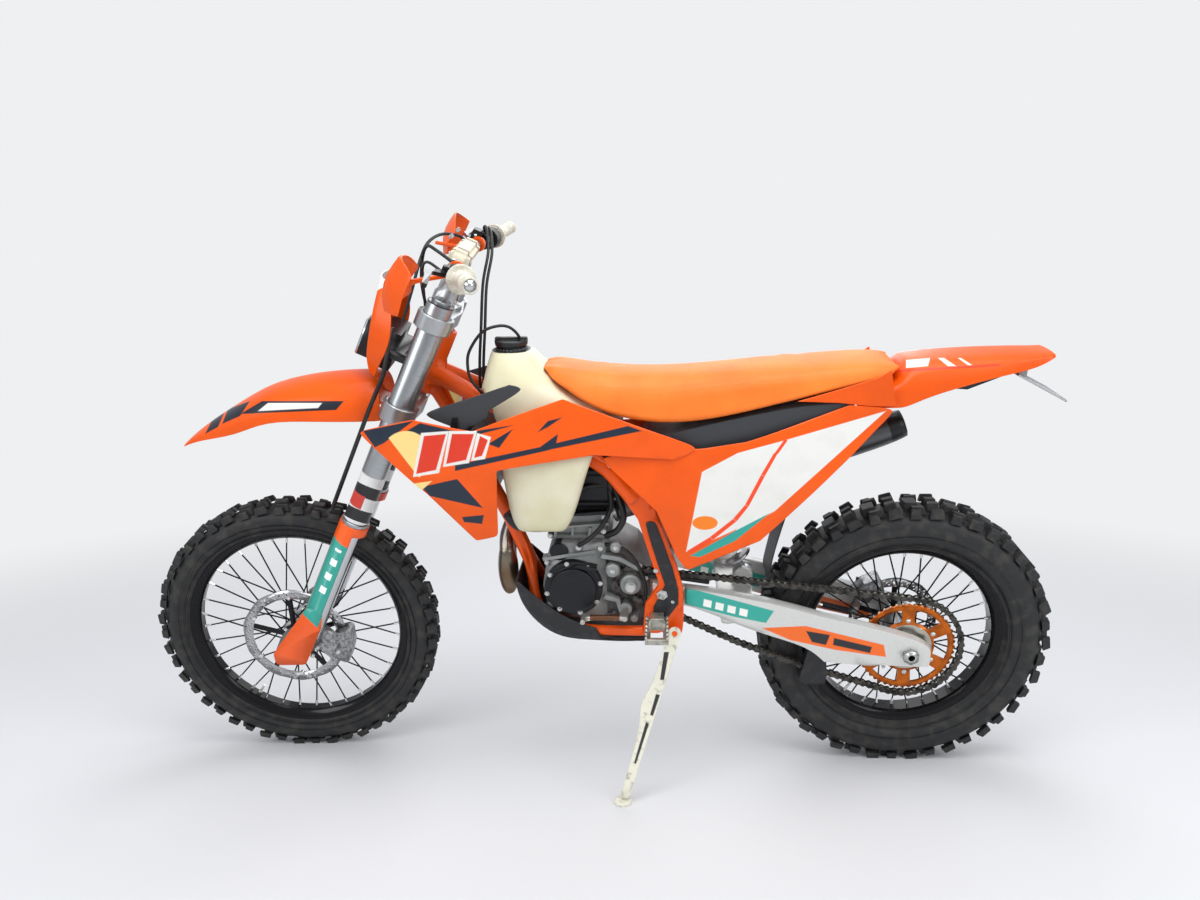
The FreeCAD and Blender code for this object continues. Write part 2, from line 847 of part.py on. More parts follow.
def tyre(center, radius, bead, bead_half, side_half, tread_half, knob_count):
    """A knobbly tyre: a carcass of flats, with rows of blocks in the middle and, half a pitch on, at both shoulders."""
    crown = radius - tyre_crown_drop
    wall = bead + (crown - bead) * tyre_side_share
    half = [(bead + tyre_bead_gap, bead_half - tyre_bead_inset), (wall, side_half), (crown, tread_half - knob_taper)]
    carcass = facetted(half + [(r, -y) for r, y in half[::-1]], knob_count, center)
    root = crown - knob_root
    width = tread_half * center_knob_share
    inner = tread_half - shoulder_knob_width
    shoulder_top = radius - shoulder_drop
    blocks = []
    for y_from, y_to, top_from, top_to in (
        (-width, width, radius, radius),
        (inner, tread_half, shoulder_top, shoulder_top - knob_taper),
        (-tread_half, -inner, shoulder_top - knob_taper, shoulder_top),
    ):
        flat = [(root, y_from), (top_from, y_from), (top_to, y_to), (root, y_to)]
        face = Part.makePolygon([V(-knob_length / 2, y, r) for r, y in flat + flat[:1]])
        block = Part.Face(face).extrude(V(knob_length, 0, 0))
        block.translate(V(center[0], 0, center[1]))
        centered = y_from + y_to == 0
        blocks += around(block, knob_count, center, 0 if centered else 180 / knob_count)
    return carcass.multiFuse(blocks)


def rim(center, lip, half, bead, bead_half, well, well_half, knob_count):
    side = [(bead, bead_half), (lip, half), (well, well_half)]
    return facetted(side + [(r, -y) for r, y in side[::-1]], knob_count, center)


def hub_with_spokes(center, bore, half, flange_r, barrel_r, flange_w, flange_y, well, ends):
    """A turned hub whose two flanges carry the spokes, each laced to the rim's well."""
    x, z = center
    pieces = [puck(x, z, barrel_r, -flange_y, flange_y), puck(x, z, ends, -half, -flange_y), puck(x, z, ends, flange_y, half)]
    for y in (-flange_y - flange_w, flange_y):
        pieces.append(puck(x, z, flange_r, y, y + flange_w))
    cross = math.radians(spoke_cross_deg)
    reach = well - spoke_end_gap
    index = 0
    for side_sign in (-1, 1):
        for lean_sign in (-1, 1):
            foot = V(
                lean_sign * spoke_circle * math.sin(cross),
                side_sign * (flange_y + flange_w / 2) + lean_sign * spoke_head_y,
                spoke_circle * math.cos(cross),
            )
            top = V(0, side_sign * spoke_rim_y, reach)
            run = top - foot
            ring = Part.makeCircle(spoke_radius, foot, run)
            corners = [ring.valueAt(2 * math.pi * i / 3) for i in range(3)]
            spoke = Part.Face(Part.makePolygon(corners + corners[:1])).extrude(run)
            spoke.translate(V(center[0], 0, center[1]))
            pieces += around(spoke, spoke_count // 4, center, 360 * index / spoke_count)
            index += 1
    return fused(pieces).cut(rod((x, -half - overrun, z), (x, half + overrun, z), bore))


def brake_disc(center, radius, band, y, hub_radius):
    """A wavy brake disc on arms that reach in to the hub."""
    def ring_of(steps, radius_at):
        turns = [2 * math.pi * i / steps for i in range(steps)]
        return [(center[0] + radius_at(t) * math.cos(t), center[1] + radius_at(t) * math.sin(t)) for t in turns]

    low, high = y - disc_thickness / 2, y + disc_thickness / 2
    wave = ring_of(disc_wave_count * 4, lambda t: radius - disc_wave * (1 + math.cos(disc_wave_count * t)) / 2)
    ring = slab(wave, low, high).cut(slab(ring_of(2 * disc_wave_count, lambda t: radius - band), low, high))
    eye = puck(center[0], center[1], disc_mount_radius, low, high)
    arm = Part.makeBox(
        disc_arm_width,
        disc_thickness,
        radius - band + overrun - disc_mount_radius + overrun,
        V(center[0] - disc_arm_width / 2, low, center[1] + disc_mount_radius - overrun),
    )
    body = fused([ring, eye] + around(arm, disc_arm_count, center))
    hole = puck(center[0], center[1], hub_radius, low - overrun, high + overrun)
    return body.cut(hole)


keep("front_tyre", tyre(front_axle, front_tyre_radius, front_bead_radius, front_bead_half, front_tyre_half,
                        front_tread_half, front_knob_count))
keep("rear_tyre", tyre(rear_axle, rear_tyre_radius, rear_bead_radius, rear_bead_half, rear_tyre_half,
                       rear_tread_half, rear_knob_count))
keep("front_rim", rim(front_axle, front_rim_radius, front_rim_half, front_bead_radius, front_bead_half,
                      front_rim_well, front_rim_well_half, front_knob_count))
keep("rear_rim", rim(rear_axle, rear_rim_radius, rear_rim_half, rear_bead_radius, rear_bead_half,
                     rear_rim_well, rear_rim_well_half, rear_knob_count))
front_hub_end = disc_mount_radius - 8.0
rear_hub_end = rear_sprocket_bore - 10.0
keep("front_hub", hub_with_spokes(front_axle, front_axle_radius + fit_gap, front_hub_half,
                                  front_hub_flange_radius, front_hub_barrel_radius, front_hub_flange_width,
                                  front_hub_flange_y, front_rim_well, front_hub_end))
keep("rear_hub", hub_with_spokes(rear_axle, rear_axle_radius + fit_gap, rear_hub_half,
                                 rear_hub_flange_radius, rear_hub_barrel_radius, rear_hub_flange_width,
                                 rear_hub_flange_y, rear_rim_well, rear_hub_end))
keep("front_disc", brake_disc(front_axle, front_disc_radius, front_disc_band, front_disc_y, front_hub_end))
keep("rear_disc", brake_disc(rear_axle, rear_disc_radius, rear_disc_band, rear_disc_y, rear_hub_end))


# Fork and steering


def fork_legs():
    """Plated legs that end in the cast lugs which clamp the axle."""
    legs = []
    tube_x = fork_lead
    for sign in (-1, 1):
        y = sign * fork_half_spacing
        leg = post(tube_x, y, fork_lug_drop, fork_tube_bottom, fork_leg_radius)
        lug_y = y - fork_lug_half_y
        back = tube_x + fork_leg_radius
        outline = [
            (-fork_lug_drop, -fork_lug_drop),
            (fork_lug_drop, -fork_lug_drop),
            (back, fork_lug_drop),
            (back, fork_lug_length),
            (tube_x - fork_leg_radius, fork_lug_length),
            (-fork_lug_drop, fork_lug_drop),
        ]
        lug = slab(outline, lug_y, lug_y + 2 * fork_lug_half_y, fork_lug_drop * 0.6)
        hole = puck(0, 0, front_axle_radius, y - fork_lug_length / 2, y + fork_lug_length / 2, hugging=True)
        legs.append(from_fork(leg.fuse(lug).cut(hole)))
    return legs


def fork_tubes():
    """Outer tubes with a thicker collar at the bottom and the cap at the top."""
    tubes = []
    for y in (-fork_half_spacing, fork_half_spacing):
        ring_top = fork_tube_bottom + fork_ring_height
        tubes.append(from_fork(fused([
            post(fork_lead, y, fork_tube_bottom, ring_top, fork_ring_radius),
            post(fork_lead, y, ring_top, fork_tube_top, fork_tube_radius),
            post(fork_lead, y, fork_tube_top, fork_tube_top + fork_cap_height, fork_cap_radius),
        ])))
    return tubes


def clamp(bottom, height, stem):
    """A clamp plate round both legs and the steering stem, waisted between them."""
    ring = fork_tube_radius + clamp_wall
    body = []
    for y in (-fork_half_spacing, fork_half_spacing):
        body.append(post(fork_lead, y, bottom, bottom + height, ring))
    front = fork_lead - clamp_front_reach
    back = steer_x + clamp_front_reach
    outline = [
        V(front + clamp_wall, -fork_half_spacing, bottom),
        V(front, -riser_half_spacing, bottom),
        V(front, riser_half_spacing, bottom),
        V(front + clamp_wall, fork_half_spacing, bottom),
        V(back - clamp_wall, fork_half_spacing, bottom),
        V(back, 0, bottom),
        V(back - clamp_wall, -fork_half_spacing, bottom),
    ]
    body.append(Part.Face(Part.makePolygon(outline + outline[:1])).extrude(V(0, 0, height)))
    holes = [
        post(fork_lead, y, bottom - overrun, bottom + height + overrun, fork_tube_radius)
        for y in (-fork_half_spacing, fork_half_spacing)
    ]
    return without(fused(body + [stem]), holes)


stem_top = upper_clamp_bottom
stem = Part.makeCylinder(stem_radius, stem_top - lower_clamp_bottom, V(steer_x, 0, lower_clamp_bottom))
nut = post(steer_x, 0, upper_clamp_bottom, upper_clamp_bottom + upper_clamp_height + stem_nut_height, stem_nut_radius, 6)
keep("fork_legs", fork_legs())
keep("fork_tubes", fork_tubes())
lower_clamp = from_fork(clamp(lower_clamp_bottom, lower_clamp_height, stem))
upper_clamp = from_fork(clamp(upper_clamp_bottom, upper_clamp_height, nut))


def fork_guards():
    """Plastic guards: a half round shell ahead of each leg, a collar at its top and a flat foot."""
    guards = []
    inner = fork_ring_radius + seat_gap
    for sign in (-1, 1):
        y = sign * fork_half_spacing
        outer = inner + guard_thickness
        top = fork_tube_bottom + fork_ring_height / 2
        shell = post(fork_lead, y, guard_bottom, top, outer)
        core = post(fork_lead, y, guard_bottom - overrun, top + overrun, inner)
        size = 4 * outer
        keeper = Part.makeBox(size, size, size * 3, V(fork_lead - size + outer * 0.25, y - size / 2, 0))
        inner_side = y - size if sign > 0 else y + inner * 0.55
        if sign > 0:
            inner_side = y - inner * 0.55 - size
        slot = Part.makeBox(2 * size, size, size * 3, V(fork_lead - size, inner_side, 0))
        shell = shell.common(keeper).cut(slot)
        collar = post(fork_lead, y, top - guard_ring_height, top, outer)
        foot_y = y + sign * (inner + guard_thickness / 2)
        outline = [
            (fork_lead - outer * 0.85, guard_bottom + guard_ring_height * 2),
            (fork_lead + outer * 0.25, guard_bottom + guard_ring_height * 2),
            (fork_lead + outer * 0.55, guard_bottom),
            (fork_lead + outer * 0.5, -fork_lug_drop * 0.2),
            (-fork_lug_drop * 0.4, -guard_foot_drop),
            (-fork_lug_drop, -fork_lug_drop * 0.3),
            (-fork_lug_drop * 0.3, guard_bottom * 0.75),
        ]
        foot = slab(outline, foot_y - guard_thickness / 2, foot_y + guard_thickness / 2, guard_rib)
        guard = fused([shell, collar.cut(core), foot])
        guards.append(from_fork(guard.cut(core)))
    return guards


keep("fork_guards", fork_guards())
front_axle_bar = puck(front_axle[0], front_axle[1], front_axle_radius, -front_axle_half, front_axle_half)
front_axle_hole = puck(front_axle[0], front_axle[1], front_axle_bore, -2 * front_axle_half, 2 * front_axle_half, 8)
keep("front_axle", front_axle_bar.cut(front_axle_hole))

# Handlebar, its risers and what is clamped on it
bar_path = []
for sign, order in ((-1, 1), (1, -1)):
    half = [
        (bar_end_x, sign * bar_end_half, bar_end_height),
        (bar_grip_start_x, sign * bar_grip_start, bar_grip_start_height),
        (bar_rise_x, sign * bar_rise_half, bar_rise_height),
        (bar_center_x, sign * bar_center_half, bar_center_height),
    ]
    bar_path += half[::order]
handlebar = tube(bar_path, bar_grip_radius, bar_bend)
thick = puck(bar_center_x, bar_center_height, bar_radius, -bar_center_half, bar_center_half)
keep("handlebar", from_fork(handlebar.fuse(thick)))


def riser(y):
    """A clamp block from the upper clamp's top to the bar, split round the bar."""
    bottom = upper_clamp_bottom + upper_clamp_height
    outline = [
        (bar_center_x - riser_half_width, bottom),
        (bar_center_x + riser_half_width, bottom),
        (bar_center_x + riser_half_width * 0.8, bar_center_height + riser_half_width),
        (bar_center_x - riser_half_width * 0.8, bar_center_height + riser_half_width),
    ]
    block = slab(outline, y - riser_half_length, y + riser_half_length, guard_rib / 2)
    hole = puck(bar_center_x, bar_center_height, bar_radius, y - 2 * riser_half_length, y + 2 * riser_half_length)
    return from_fork(block.cut(hole))


keep("triple_clamps", [lower_clamp, upper_clamp, riser(-riser_half_spacing), riser(riser_half_spacing)])

grip_run = V(bar_end_x - bar_grip_start_x, bar_end_half - bar_grip_start, bar_end_height - bar_grip_start_height)
grip_length = grip_run.Length


def on_grip(distance, radius, length, hole=bar_grip_radius):
    """A sleeve on the right-hand grip's line, some way in from the bar's end."""
    run = V(grip_run).normalize()
    end = V(bar_end_x, bar_end_half, bar_end_height)
    foot = end - run * distance
    body = prism(foot - run * length, foot, radius, 10)
    return body.cut(prism(foot - run * (length + overrun), foot + run * overrun, hole, 8, True))


grip = fused([
    on_grip(0, grip_radius, grip_length * 0.9),
    on_grip(grip_length * 0.9 - grip_flange_width, grip_flange_radius, grip_flange_width),
])
keep("grips", [from_fork(s) for s in both_sides(grip)])
pad_x = bar_center_x
pad_z = bar_center_height + riser_half_width + bar_pad_height / 2 + seat_gap
pad_outline = [
    (pad_x - bar_pad_depth / 2, pad_z - bar_pad_height / 2),
    (pad_x + bar_pad_depth / 2, pad_z - bar_pad_height / 2),
    (pad_x + bar_pad_depth / 2, pad_z + bar_pad_height / 2),
    (pad_x - bar_pad_depth / 2, pad_z + bar_pad_height / 2),
]
keep("bar_pad", from_fork(slab(pad_outline, -bar_pad_half, bar_pad_half, bar_pad_height * 0.3)))


def bar_at(y):
    """Where the bar's centre line is on its right half, between the rise and the grip."""
    start = V(bar_rise_x, bar_rise_half, bar_rise_height)
    run = V(bar_grip_start_x, bar_grip_start, bar_grip_start_height) - start
    return start + run * ((y - bar_rise_half) / run.y)


def on_bar(y_from, y_to, radius, sides=10, hugging=False):
    """A sleeve on the right half of the bar, between the rise and the grip."""
    return prism(bar_at(y_from), bar_at(y_to), radius, sides, hugging)


def lever():
    """A forged lever in front of the grip, from its pivot in the perch to its ball end."""
    y_from = perch_inner + perch_length / 2
    seat = bar_at(perch_inner + perch_length / 2)
    pivot = (seat.x + perch_drift_x - perch_radius - lever_width, seat.z + perch_drift_z - lever_width)
    shape = [
        (pivot[0] + lever_width, y_from - lever_width),
        (pivot[0] - lever_width, y_from - lever_width),
        (pivot[0] - 3 * lever_width, y_from + 3 * lever_width),
        (pivot[0] - 2 * lever_width, y_from + lever_reach),
        (pivot[0] - lever_width, y_from + lever_reach),
        (pivot[0] - 2 * lever_width, y_from + 3 * lever_width),
        (pivot[0], y_from + lever_width),
        (pivot[0] + lever_width, y_from + lever_width),
    ]
    points = [V(x, y, pivot[1] - lever_thickness) for x, y in shape]
    face = Part.Face(rounded_wire(points, lever_width * 0.6))
    return face.extrude(V(0, 0, lever_thickness))


def master_cylinder(reservoir):
    """Perch and hydraulic cylinder, with or without a raised reservoir."""
    perch = on_bar(perch_inner, perch_inner + perch_length, perch_radius)
    seat = bar_at(perch_inner + perch_length / 2)
    x = seat.x + perch_drift_x - perch_radius - master_radius
    z = seat.z + perch_drift_z - master_radius
    barrel_end = perch_inner + perch_length / 2
    barrel = puck(x, z, master_radius, barrel_end - master_length, barrel_end, 8)
    block = Part.makeBox(
        perch_radius + 2 * master_radius,
        perch_length / 2,
        master_radius * 1.6,
        V(x - master_radius, perch_inner, z - master_radius * 0.8),
    )
    pieces = [perch, barrel, block, lever()]
    if reservoir:
        cup = Part.makeBox(
            2 * master_radius,
            perch_length,
            reservoir_height,
            V(x - master_radius, perch_inner - perch_length / 2, z + master_radius * 0.5),
        )
        pieces.append(cup)
    body = fused(pieces)
    return body.cut(on_bar(perch_inner - perch_length, bar_grip_start, bar_grip_radius, 8, True)).cut(handlebar)


perch_inner = bar_grip_start - throttle_length - perch_length - 2 * seat_gap
throttle = on_bar(bar_grip_start - throttle_length - seat_gap, bar_grip_start - seat_gap, throttle_radius)
switch = on_bar(bar_grip_start - throttle_length - seat_gap, bar_grip_start - seat_gap, switch_radius)
bar_bore = on_bar(bar_rise_half, bar_grip_start + overrun, bar_grip_radius, 8, True)
keep("hand_controls", [from_fork(piece) for piece in (
    mirrored(master_cylinder(False)), master_cylinder(True), throttle.cut(bar_bore).cut(handlebar),
    mirrored(switch.cut(bar_bore).cut(handlebar)),
)])


def handguard():
    """A moulded shield ahead of the fingers, on an arm clamped to the bar."""
    strips = []
    middle = bar_center_height
    for y_share, x_share, low_share, high_share in handguard_shares:
        y = handguard_center_y + y_share * handguard_half_y
        front = handguard_front * x_share
        line = [
            (front * 0.6, middle - handguard_height * low_share),
            (front, middle),
            (front * 0.75, middle + handguard_height * high_share),
        ]
        strips.append([(a, y, b) for a, b in thicken(line, handguard_thickness)])
    shield = loft(strips)
    end = (handguard_front * 0.9, handguard_center_y - handguard_half_y * 0.5, middle - perch_radius)
    seat = bar_at(handguard_arm_y)
    root = (seat.x - 2 * handguard_arm_radius, seat.y, seat.z - perch_radius * 0.9)
    arm = prism(root, end, handguard_arm_radius, 8)
    ring = on_bar(handguard_arm_y - handguard_arm_radius, handguard_arm_y + handguard_arm_radius, perch_radius)
    body = fused([shield, arm, ring]).cut(bar_bore)
    return max(body.Solids, key=lambda solid: solid.Volume)


handguard_arm_y = perch_inner - perch_length * 0.67
keep("handguards", [from_fork(s) for s in both_sides(handguard())])


def mudguard():
    """A long front mudguard, arched across, dropping to a beak and bolted under the lower clamp."""
    sections = []
    for crown, edge, half in mudguard_shares:
        lift = V(crown[0] - edge[0], 0, crown[1] - edge[1]) * mudguard_reach
        foot = V(edge[0], 0, edge[1]) * mudguard_reach + V(0, 0, lower_clamp_bottom)
        drop = mudguard_thickness / lift.Length
        width = half * mudguard_half
        narrow = (width - mudguard_thickness) / width
        run = [foot + lift * up + V(0, across * width, 0) for across, up in mudguard_arch_shares]
        inner = [foot + lift * (up - drop * up) + V(0, across * width * narrow, 0) for across, up in mudguard_arch_shares]
        sections.append(run + inner[::-1])
    shell = skin(sections)
    half = riser_half_spacing
    top = lower_clamp_bottom - seat_gap
    crown_x = mudguard_shares[-1][0][0] * mudguard_reach
    crown_z = lower_clamp_bottom + mudguard_shares[-1][0][1] * mudguard_reach
    wall = 2 * mudguard_thickness
    tongue = Part.makeBox(steer_x - crown_x, 2 * half, wall, V(crown_x, -half, top - wall))
    web = Part.makeBox(wall, 2 * half, crown_z - top, V(crown_x - wall / 2, -half, top - wall))
    return from_fork(fused([shell, tongue, web]))


keep("front_mudguard", mudguard())


def mask():
    """The headlight mask: a shield that narrows downwards, with the lamp's opening cut through."""
    sections = []
    for height, front, corner_x, corner_y, back_x, back_y in mask_shares:
        z = mask_top * height
        side = [(mask_front * back_x, mask_half * back_y), (mask_front * corner_x, mask_half * corner_y)]
        line = [(x, -y) for x, y in side] + [(mask_front * front, 0)] + side[::-1]
        sections.append([(x, y, z) for x, y in thicken(line, mask_thickness)])
    shell = loft(sections)
    hole = Part.makeBox(-mask_front, 2 * lamp_lens_half, lamp_lens_height, V(mask_front * 1.2, -lamp_lens_half, lamp_z))
    return from_fork(shell.cut(hole))


def lamp():
    """Lens, housing and the two arms that hold lamp and mask to the fork tubes."""
    gap = seat_gap
    lens_front = mask_front * 0.9
    lens = Part.makeBox(
        lamp_depth, 2 * (lamp_lens_half - gap), lamp_lens_height - 2 * gap, V(lens_front, gap - lamp_lens_half, lamp_z + gap)
    )
    lens = lens.makeChamfer(lamp_lens_thickness / 2, [e for e in lens.Edges if e.BoundBox.XMax < lens_front + gap])
    housing_x = lens_front + lamp_depth
    housing = Part.makeBox(
        lamp_depth, 2 * lamp_half_width, lamp_height, V(housing_x, -lamp_half_width, lamp_z - lamp_lens_thickness)
    )
    arm_z = lamp_z + lamp_height * 0.4
    arm_start = housing_x + lamp_depth * 0.4
    arm_half = fork_half_spacing - fork_tube_radius / 2
    arm = Part.makeBox(
        fork_lead - arm_start, 2 * arm_half, lamp_lens_thickness * 3, V(arm_start, -arm_half, arm_z)
    )
    tubes = [
        post(fork_lead, y, 0, fork_tube_top, fork_tube_radius + gap)
        for y in (-fork_half_spacing, fork_half_spacing)
    ]
    bar = arm.cut(Part.makeBox(steer_x, 2 * lamp_half_width, fork_tube_top, V(0, -lamp_half_width, 0)))
    body = without(fused([lens, housing, bar]), tubes)
    return from_fork(max(body.Solids, key=lambda s: s.Volume))


keep("headlight_mask", mask())
keep("headlight", lamp())


def caliper(angle, radius, y, reach_in, reach_out, half_angle, hub):
    """A brake caliper: a curved block that bridges the disc, with a slot the disc runs in."""
    depth = caliper_depth
    outline = []
    for a in (-half_angle, 0, half_angle):
        t = math.radians(angle + a)
        outline.append(((radius + depth * 0.4) * math.cos(t), (radius + depth * 0.4) * math.sin(t)))
    for a in (half_angle, 0, -half_angle):
        t = math.radians(angle + a)
        outline.append(((radius - depth * 0.6) * math.cos(t), (radius - depth * 0.6) * math.sin(t)))
    outline = [(hub[0] + a, hub[1] + b) for a, b in outline]
    block = slab(outline, y - reach_out, y + reach_in, depth * 0.2)
    slot_half = disc_thickness / 2 + disc_clearance
    slot = puck(hub[0], hub[1], radius + disc_clearance, y - slot_half, y + slot_half, 36, True)
    return block.cut(slot)


front_caliper = caliper(
    front_caliper_angle, front_disc_radius, front_disc_y, caliper_inside, caliper_outside, caliper_half_angle, front_axle
)
back_x = fork_lead + fork_leg_radius
bracket = from_fork(slab(
    [
        (back_x + seat_gap, fork_lug_drop),
        (back_x + caliper_depth, fork_lug_drop * 0.4),
        (back_x + caliper_depth, fork_lug_length * 0.7),
        (back_x + seat_gap, fork_lug_length * 0.9),
    ],
    -fork_half_spacing,
    front_disc_y - caliper_outside + overrun,
))
keep("front_caliper", front_caliper.fuse(bracket))

hose_route = [
    (mask_front * 0.35, -fork_half_spacing * 0.97, lamp_z + lamp_height * 1.2),
    (-front_hose_stand_off, -fork_half_spacing, lamp_z),
    (-front_hose_stand_off * 1.1, -fork_half_spacing, lower_clamp_bottom),
    (-front_hose_stand_off, -fork_half_spacing, fork_tube_bottom + guard_ring_height),
]
keep("front_brake_hose", from_fork(tube(hose_route, front_hose_radius, bar_bend)))


# Main frame


head_low = lower_clamp_bottom + lower_clamp_height + head_tube_gap
head_high = upper_clamp_bottom - head_tube_gap


def head_tube():
    """Steering head: a tube with a bearing seat at each end that runs close on the stem."""
    body = post(steer_x, 0, head_low, head_high, head_tube_radius)
    inner = post(steer_x, 0, head_low + head_bearing_height, head_high - head_bearing_height, head_bore_radius, 8)
    bore = post(steer_x, 0, head_low - overrun, head_high + overrun, stem_radius + fit_gap, 12, True)
    return from_fork(body), [from_fork(inner), from_fork(bore)]


def spar_route(sign):
    """The spar's path on one side, from the head to the pivot plate."""
    return [
        fork_point(steer_x, head_low + (head_high - head_low) * 0.35, sign * head_tube_radius * 0.6),
        (spar_front_x, sign * spar_front_y, spar_front_z),
        (spar_middle_x, sign * spar_middle_y, spar_middle_z),
        (spar_end_x, sign * (pivot_plate_inner + pivot_plate_thickness / 2), spar_end_z),
    ]


def frame_side(sign):
    """One spar from the head round the engine, and the forged plate that holds the swingarm."""
    spar = tube(spar_route(sign), spar_radius, spar_bend)
    outline = spots((pivot_plate_x, pivot_plate_z), (pivot_plate_length, pivot_plate_height), pivot_plate_shares)
    y_from, y_to = sorted((sign * pivot_plate_inner, sign * (pivot_plate_inner + pivot_plate_thickness)))
    plate = slab(outline, y_from, y_to, pivot_plate_corner)
    cradle = tube(
        [
            (down_low_x, sign * down_tube_radius * 0.3, down_low_z + cradle_radius),
            (down_low_x + cradle_radius, sign * cradle_half_y * 0.75, down_low_z - cradle_drop),
            (cradle_x, sign * cradle_half_y, cradle_z + cradle_radius),
            (cradle_x + cradle_length * 0.5, sign * cradle_half_y, cradle_z),
            (cradle_x + cradle_length, sign * (pivot_plate_inner + cradle_radius * 0.6), cradle_z + cradle_radius),
        ],
        cradle_radius,
        cradle_bend,
    )
    return [spar, plate, cradle]


def frame_guard(sign):
    """Thin moulded cover on the outer face of the pivot plate."""
    outline = spots((pivot_plate_x, pivot_plate_z), (pivot_plate_length, pivot_plate_height), frame_guard_shares)
    face_y = sign * (pivot_plate_inner + pivot_plate_thickness + seat_gap)
    y_from, y_to = sorted((face_y, face_y + sign * frame_guard_thickness))
    return slab(outline, y_from, y_to, pivot_plate_corner * 0.6)



# Engine


def crankcase():
    outline = spots((case_x, case_z), (case_length, case_height), case_shares)
    body = slab(outline, -case_inner_y, case_half_y, case_corner)
    front = slab(spots((case_x, case_z), (case_length, case_height), case_front_shares), -case_half_y, 0, case_corner)
    shaft_end = -case_inner_y - case_half_y / 2
    wheel_low = chain_y - rear_sprocket_thickness / 2
    shaft = puck(output_x, output_z, output_shaft_radius, shaft_end, shaft_end + case_half_y, 8)
    wheel = puck(output_x, output_z, front_sprocket_radius, wheel_low, wheel_low + rear_sprocket_thickness, front_sprocket_teeth)
    return fused([body, front, shaft, wheel])


def cylinder_block():
    """Cylinder and head castings: a stack of blocks with narrow joint flanges between them."""
    pieces = []
    height = cylinder_z
    for share, half, drop in cylinder_shares:
        top = cylinder_z + cylinder_height * share
        inset = cylinder_length * drop
        pieces.append(Part.makeBox(cylinder_length - 2 * inset, 2 * cylinder_half_y * half, top - height,
                                   V(cylinder_x + inset, -cylinder_half_y * half, height)))
        height = top
    block = fused(pieces)
    return block


def side_cover(sign, rings, depth_from):
    """A clutch or ignition cover: turned steps about the shafts it closes."""
    return fused([puck(x, z, radius, sign * depth_from, sign * (depth_from + depth)) for x, z, radius, depth in rings])


keep("engine_case", crankcase())
keep("engine_cylinder", cylinder_block())
ignition = side_cover(-1, [
    (crank_x, crank_z, ignition_radius, cover_depth - cover_step),
    (crank_x, crank_z, ignition_radius * 0.8, cover_depth),
], case_half_y)
clutch = side_cover(1, [
    (crank_x, crank_z, ignition_radius * 0.85, cover_depth - cover_step),
    (output_x * 0.5, output_z, ignition_radius, cover_depth - cover_step),
    (output_x * 0.5, output_z, ignition_radius * 0.85, cover_depth),
], case_half_y)
keep("engine_covers", [ignition, clutch])


def header():
    """Header pipe: out of the port, through the chamber, then back along the right side."""
    front = tube([
        (cylinder_x + header_radius, header_radius, header_port_z),
        (down_middle_x + header_radius * 1.5, header_radius * 2.2, header_port_z),
        (chamber_x - header_radius * 0.2, header_radius * 2.1, header_port_z - header_radius * 2),
        (chamber_x, 0, chamber_z + chamber_half_length * 0.7),
    ], header_radius, header_bend)
    back = tube([
        (chamber_x, 0, chamber_z + chamber_half_length * 0.5),
        (chamber_x + header_radius * 0.4, header_y * 0.7, header_port_z - header_radius * 2),
        (down_middle_x + header_radius * 2, header_y, header_port_z + header_radius),
        (spar_end_x, header_y, header_back_z),
        (silencer_x, silencer_y, silencer_z),
    ], header_radius, header_bend)
    profile = [
        (chamber_radius * 0.3, -chamber_half_length), (chamber_radius * 0.7, -chamber_half_length * 0.85),
        (chamber_radius, -chamber_half_length * 0.3), (chamber_radius, chamber_half_length * 0.3),
        (chamber_radius * 0.7, chamber_half_length * 0.85), (chamber_radius * 0.3, chamber_half_length),
    ]
    rings = []
    for radius, height in profile:
        circle = Part.makeCircle(radius, V(chamber_x, 0, chamber_z + height), V(0, 0, 1))
        rings.append([circle.valueAt(2 * math.pi * i / chamber_flats) for i in range(chamber_flats)])
    return fused([front, skin(rings), back]).cut(nodes["engine_cylinder"])


def silencer():
    """Silencer body: an oval can that tapers to its end cap, with the outlet bored."""
    start = V(silencer_x, silencer_y, silencer_z)
    end = V(silencer_end_x, silencer_end_y, silencer_end_z)
    run = end - start
    rings = []
    for share, size in silencer_shares:
        circle = Part.makeCircle(silencer_radius * size, start + run * share, run)
        rings.append([circle.valueAt(2 * math.pi * i / silencer_flats) for i in range(silencer_flats)])
    outlet = prism(end - V(run).normalize() * silencer_cap_length, end + run, header_radius, 8)
    return skin(rings).cut(outlet).cut(nodes["exhaust_header"])


keep("exhaust_header", header())
keep("silencer", silencer())


# Bodywork


def panel(outline, stations, thickness, corner):
    """A left-hand moulded panel: a bent skin through upright stations, trimmed to its outline."""
    sections = []
    for x, line in stations:
        run = [(-y, z) for z, y in line]
        sections.append([(x, a, b) for a, b in thicken(run, thickness)])
    skin = loft(sections)
    reach = max(y for x, line in stations for z, y in line) + 2 * overrun
    return skin.common(slab(outline, -reach, 0, corner))


def shroud():
    outline = spots((shroud_x, shroud_z), (shroud_length, shroud_height), shroud_shares)
    stations = []
    for x_share, row in shroud_station_shares:
        line = []
        for z_share, y_share in row:
            line.append((shroud_z + shroud_height * z_share, shroud_half * y_share))
        stations.append((shroud_x + shroud_length * x_share, line))
    return panel(outline, stations, panel_thickness, panel_corner)


keep("radiator_shrouds", both_sides(shroud()))


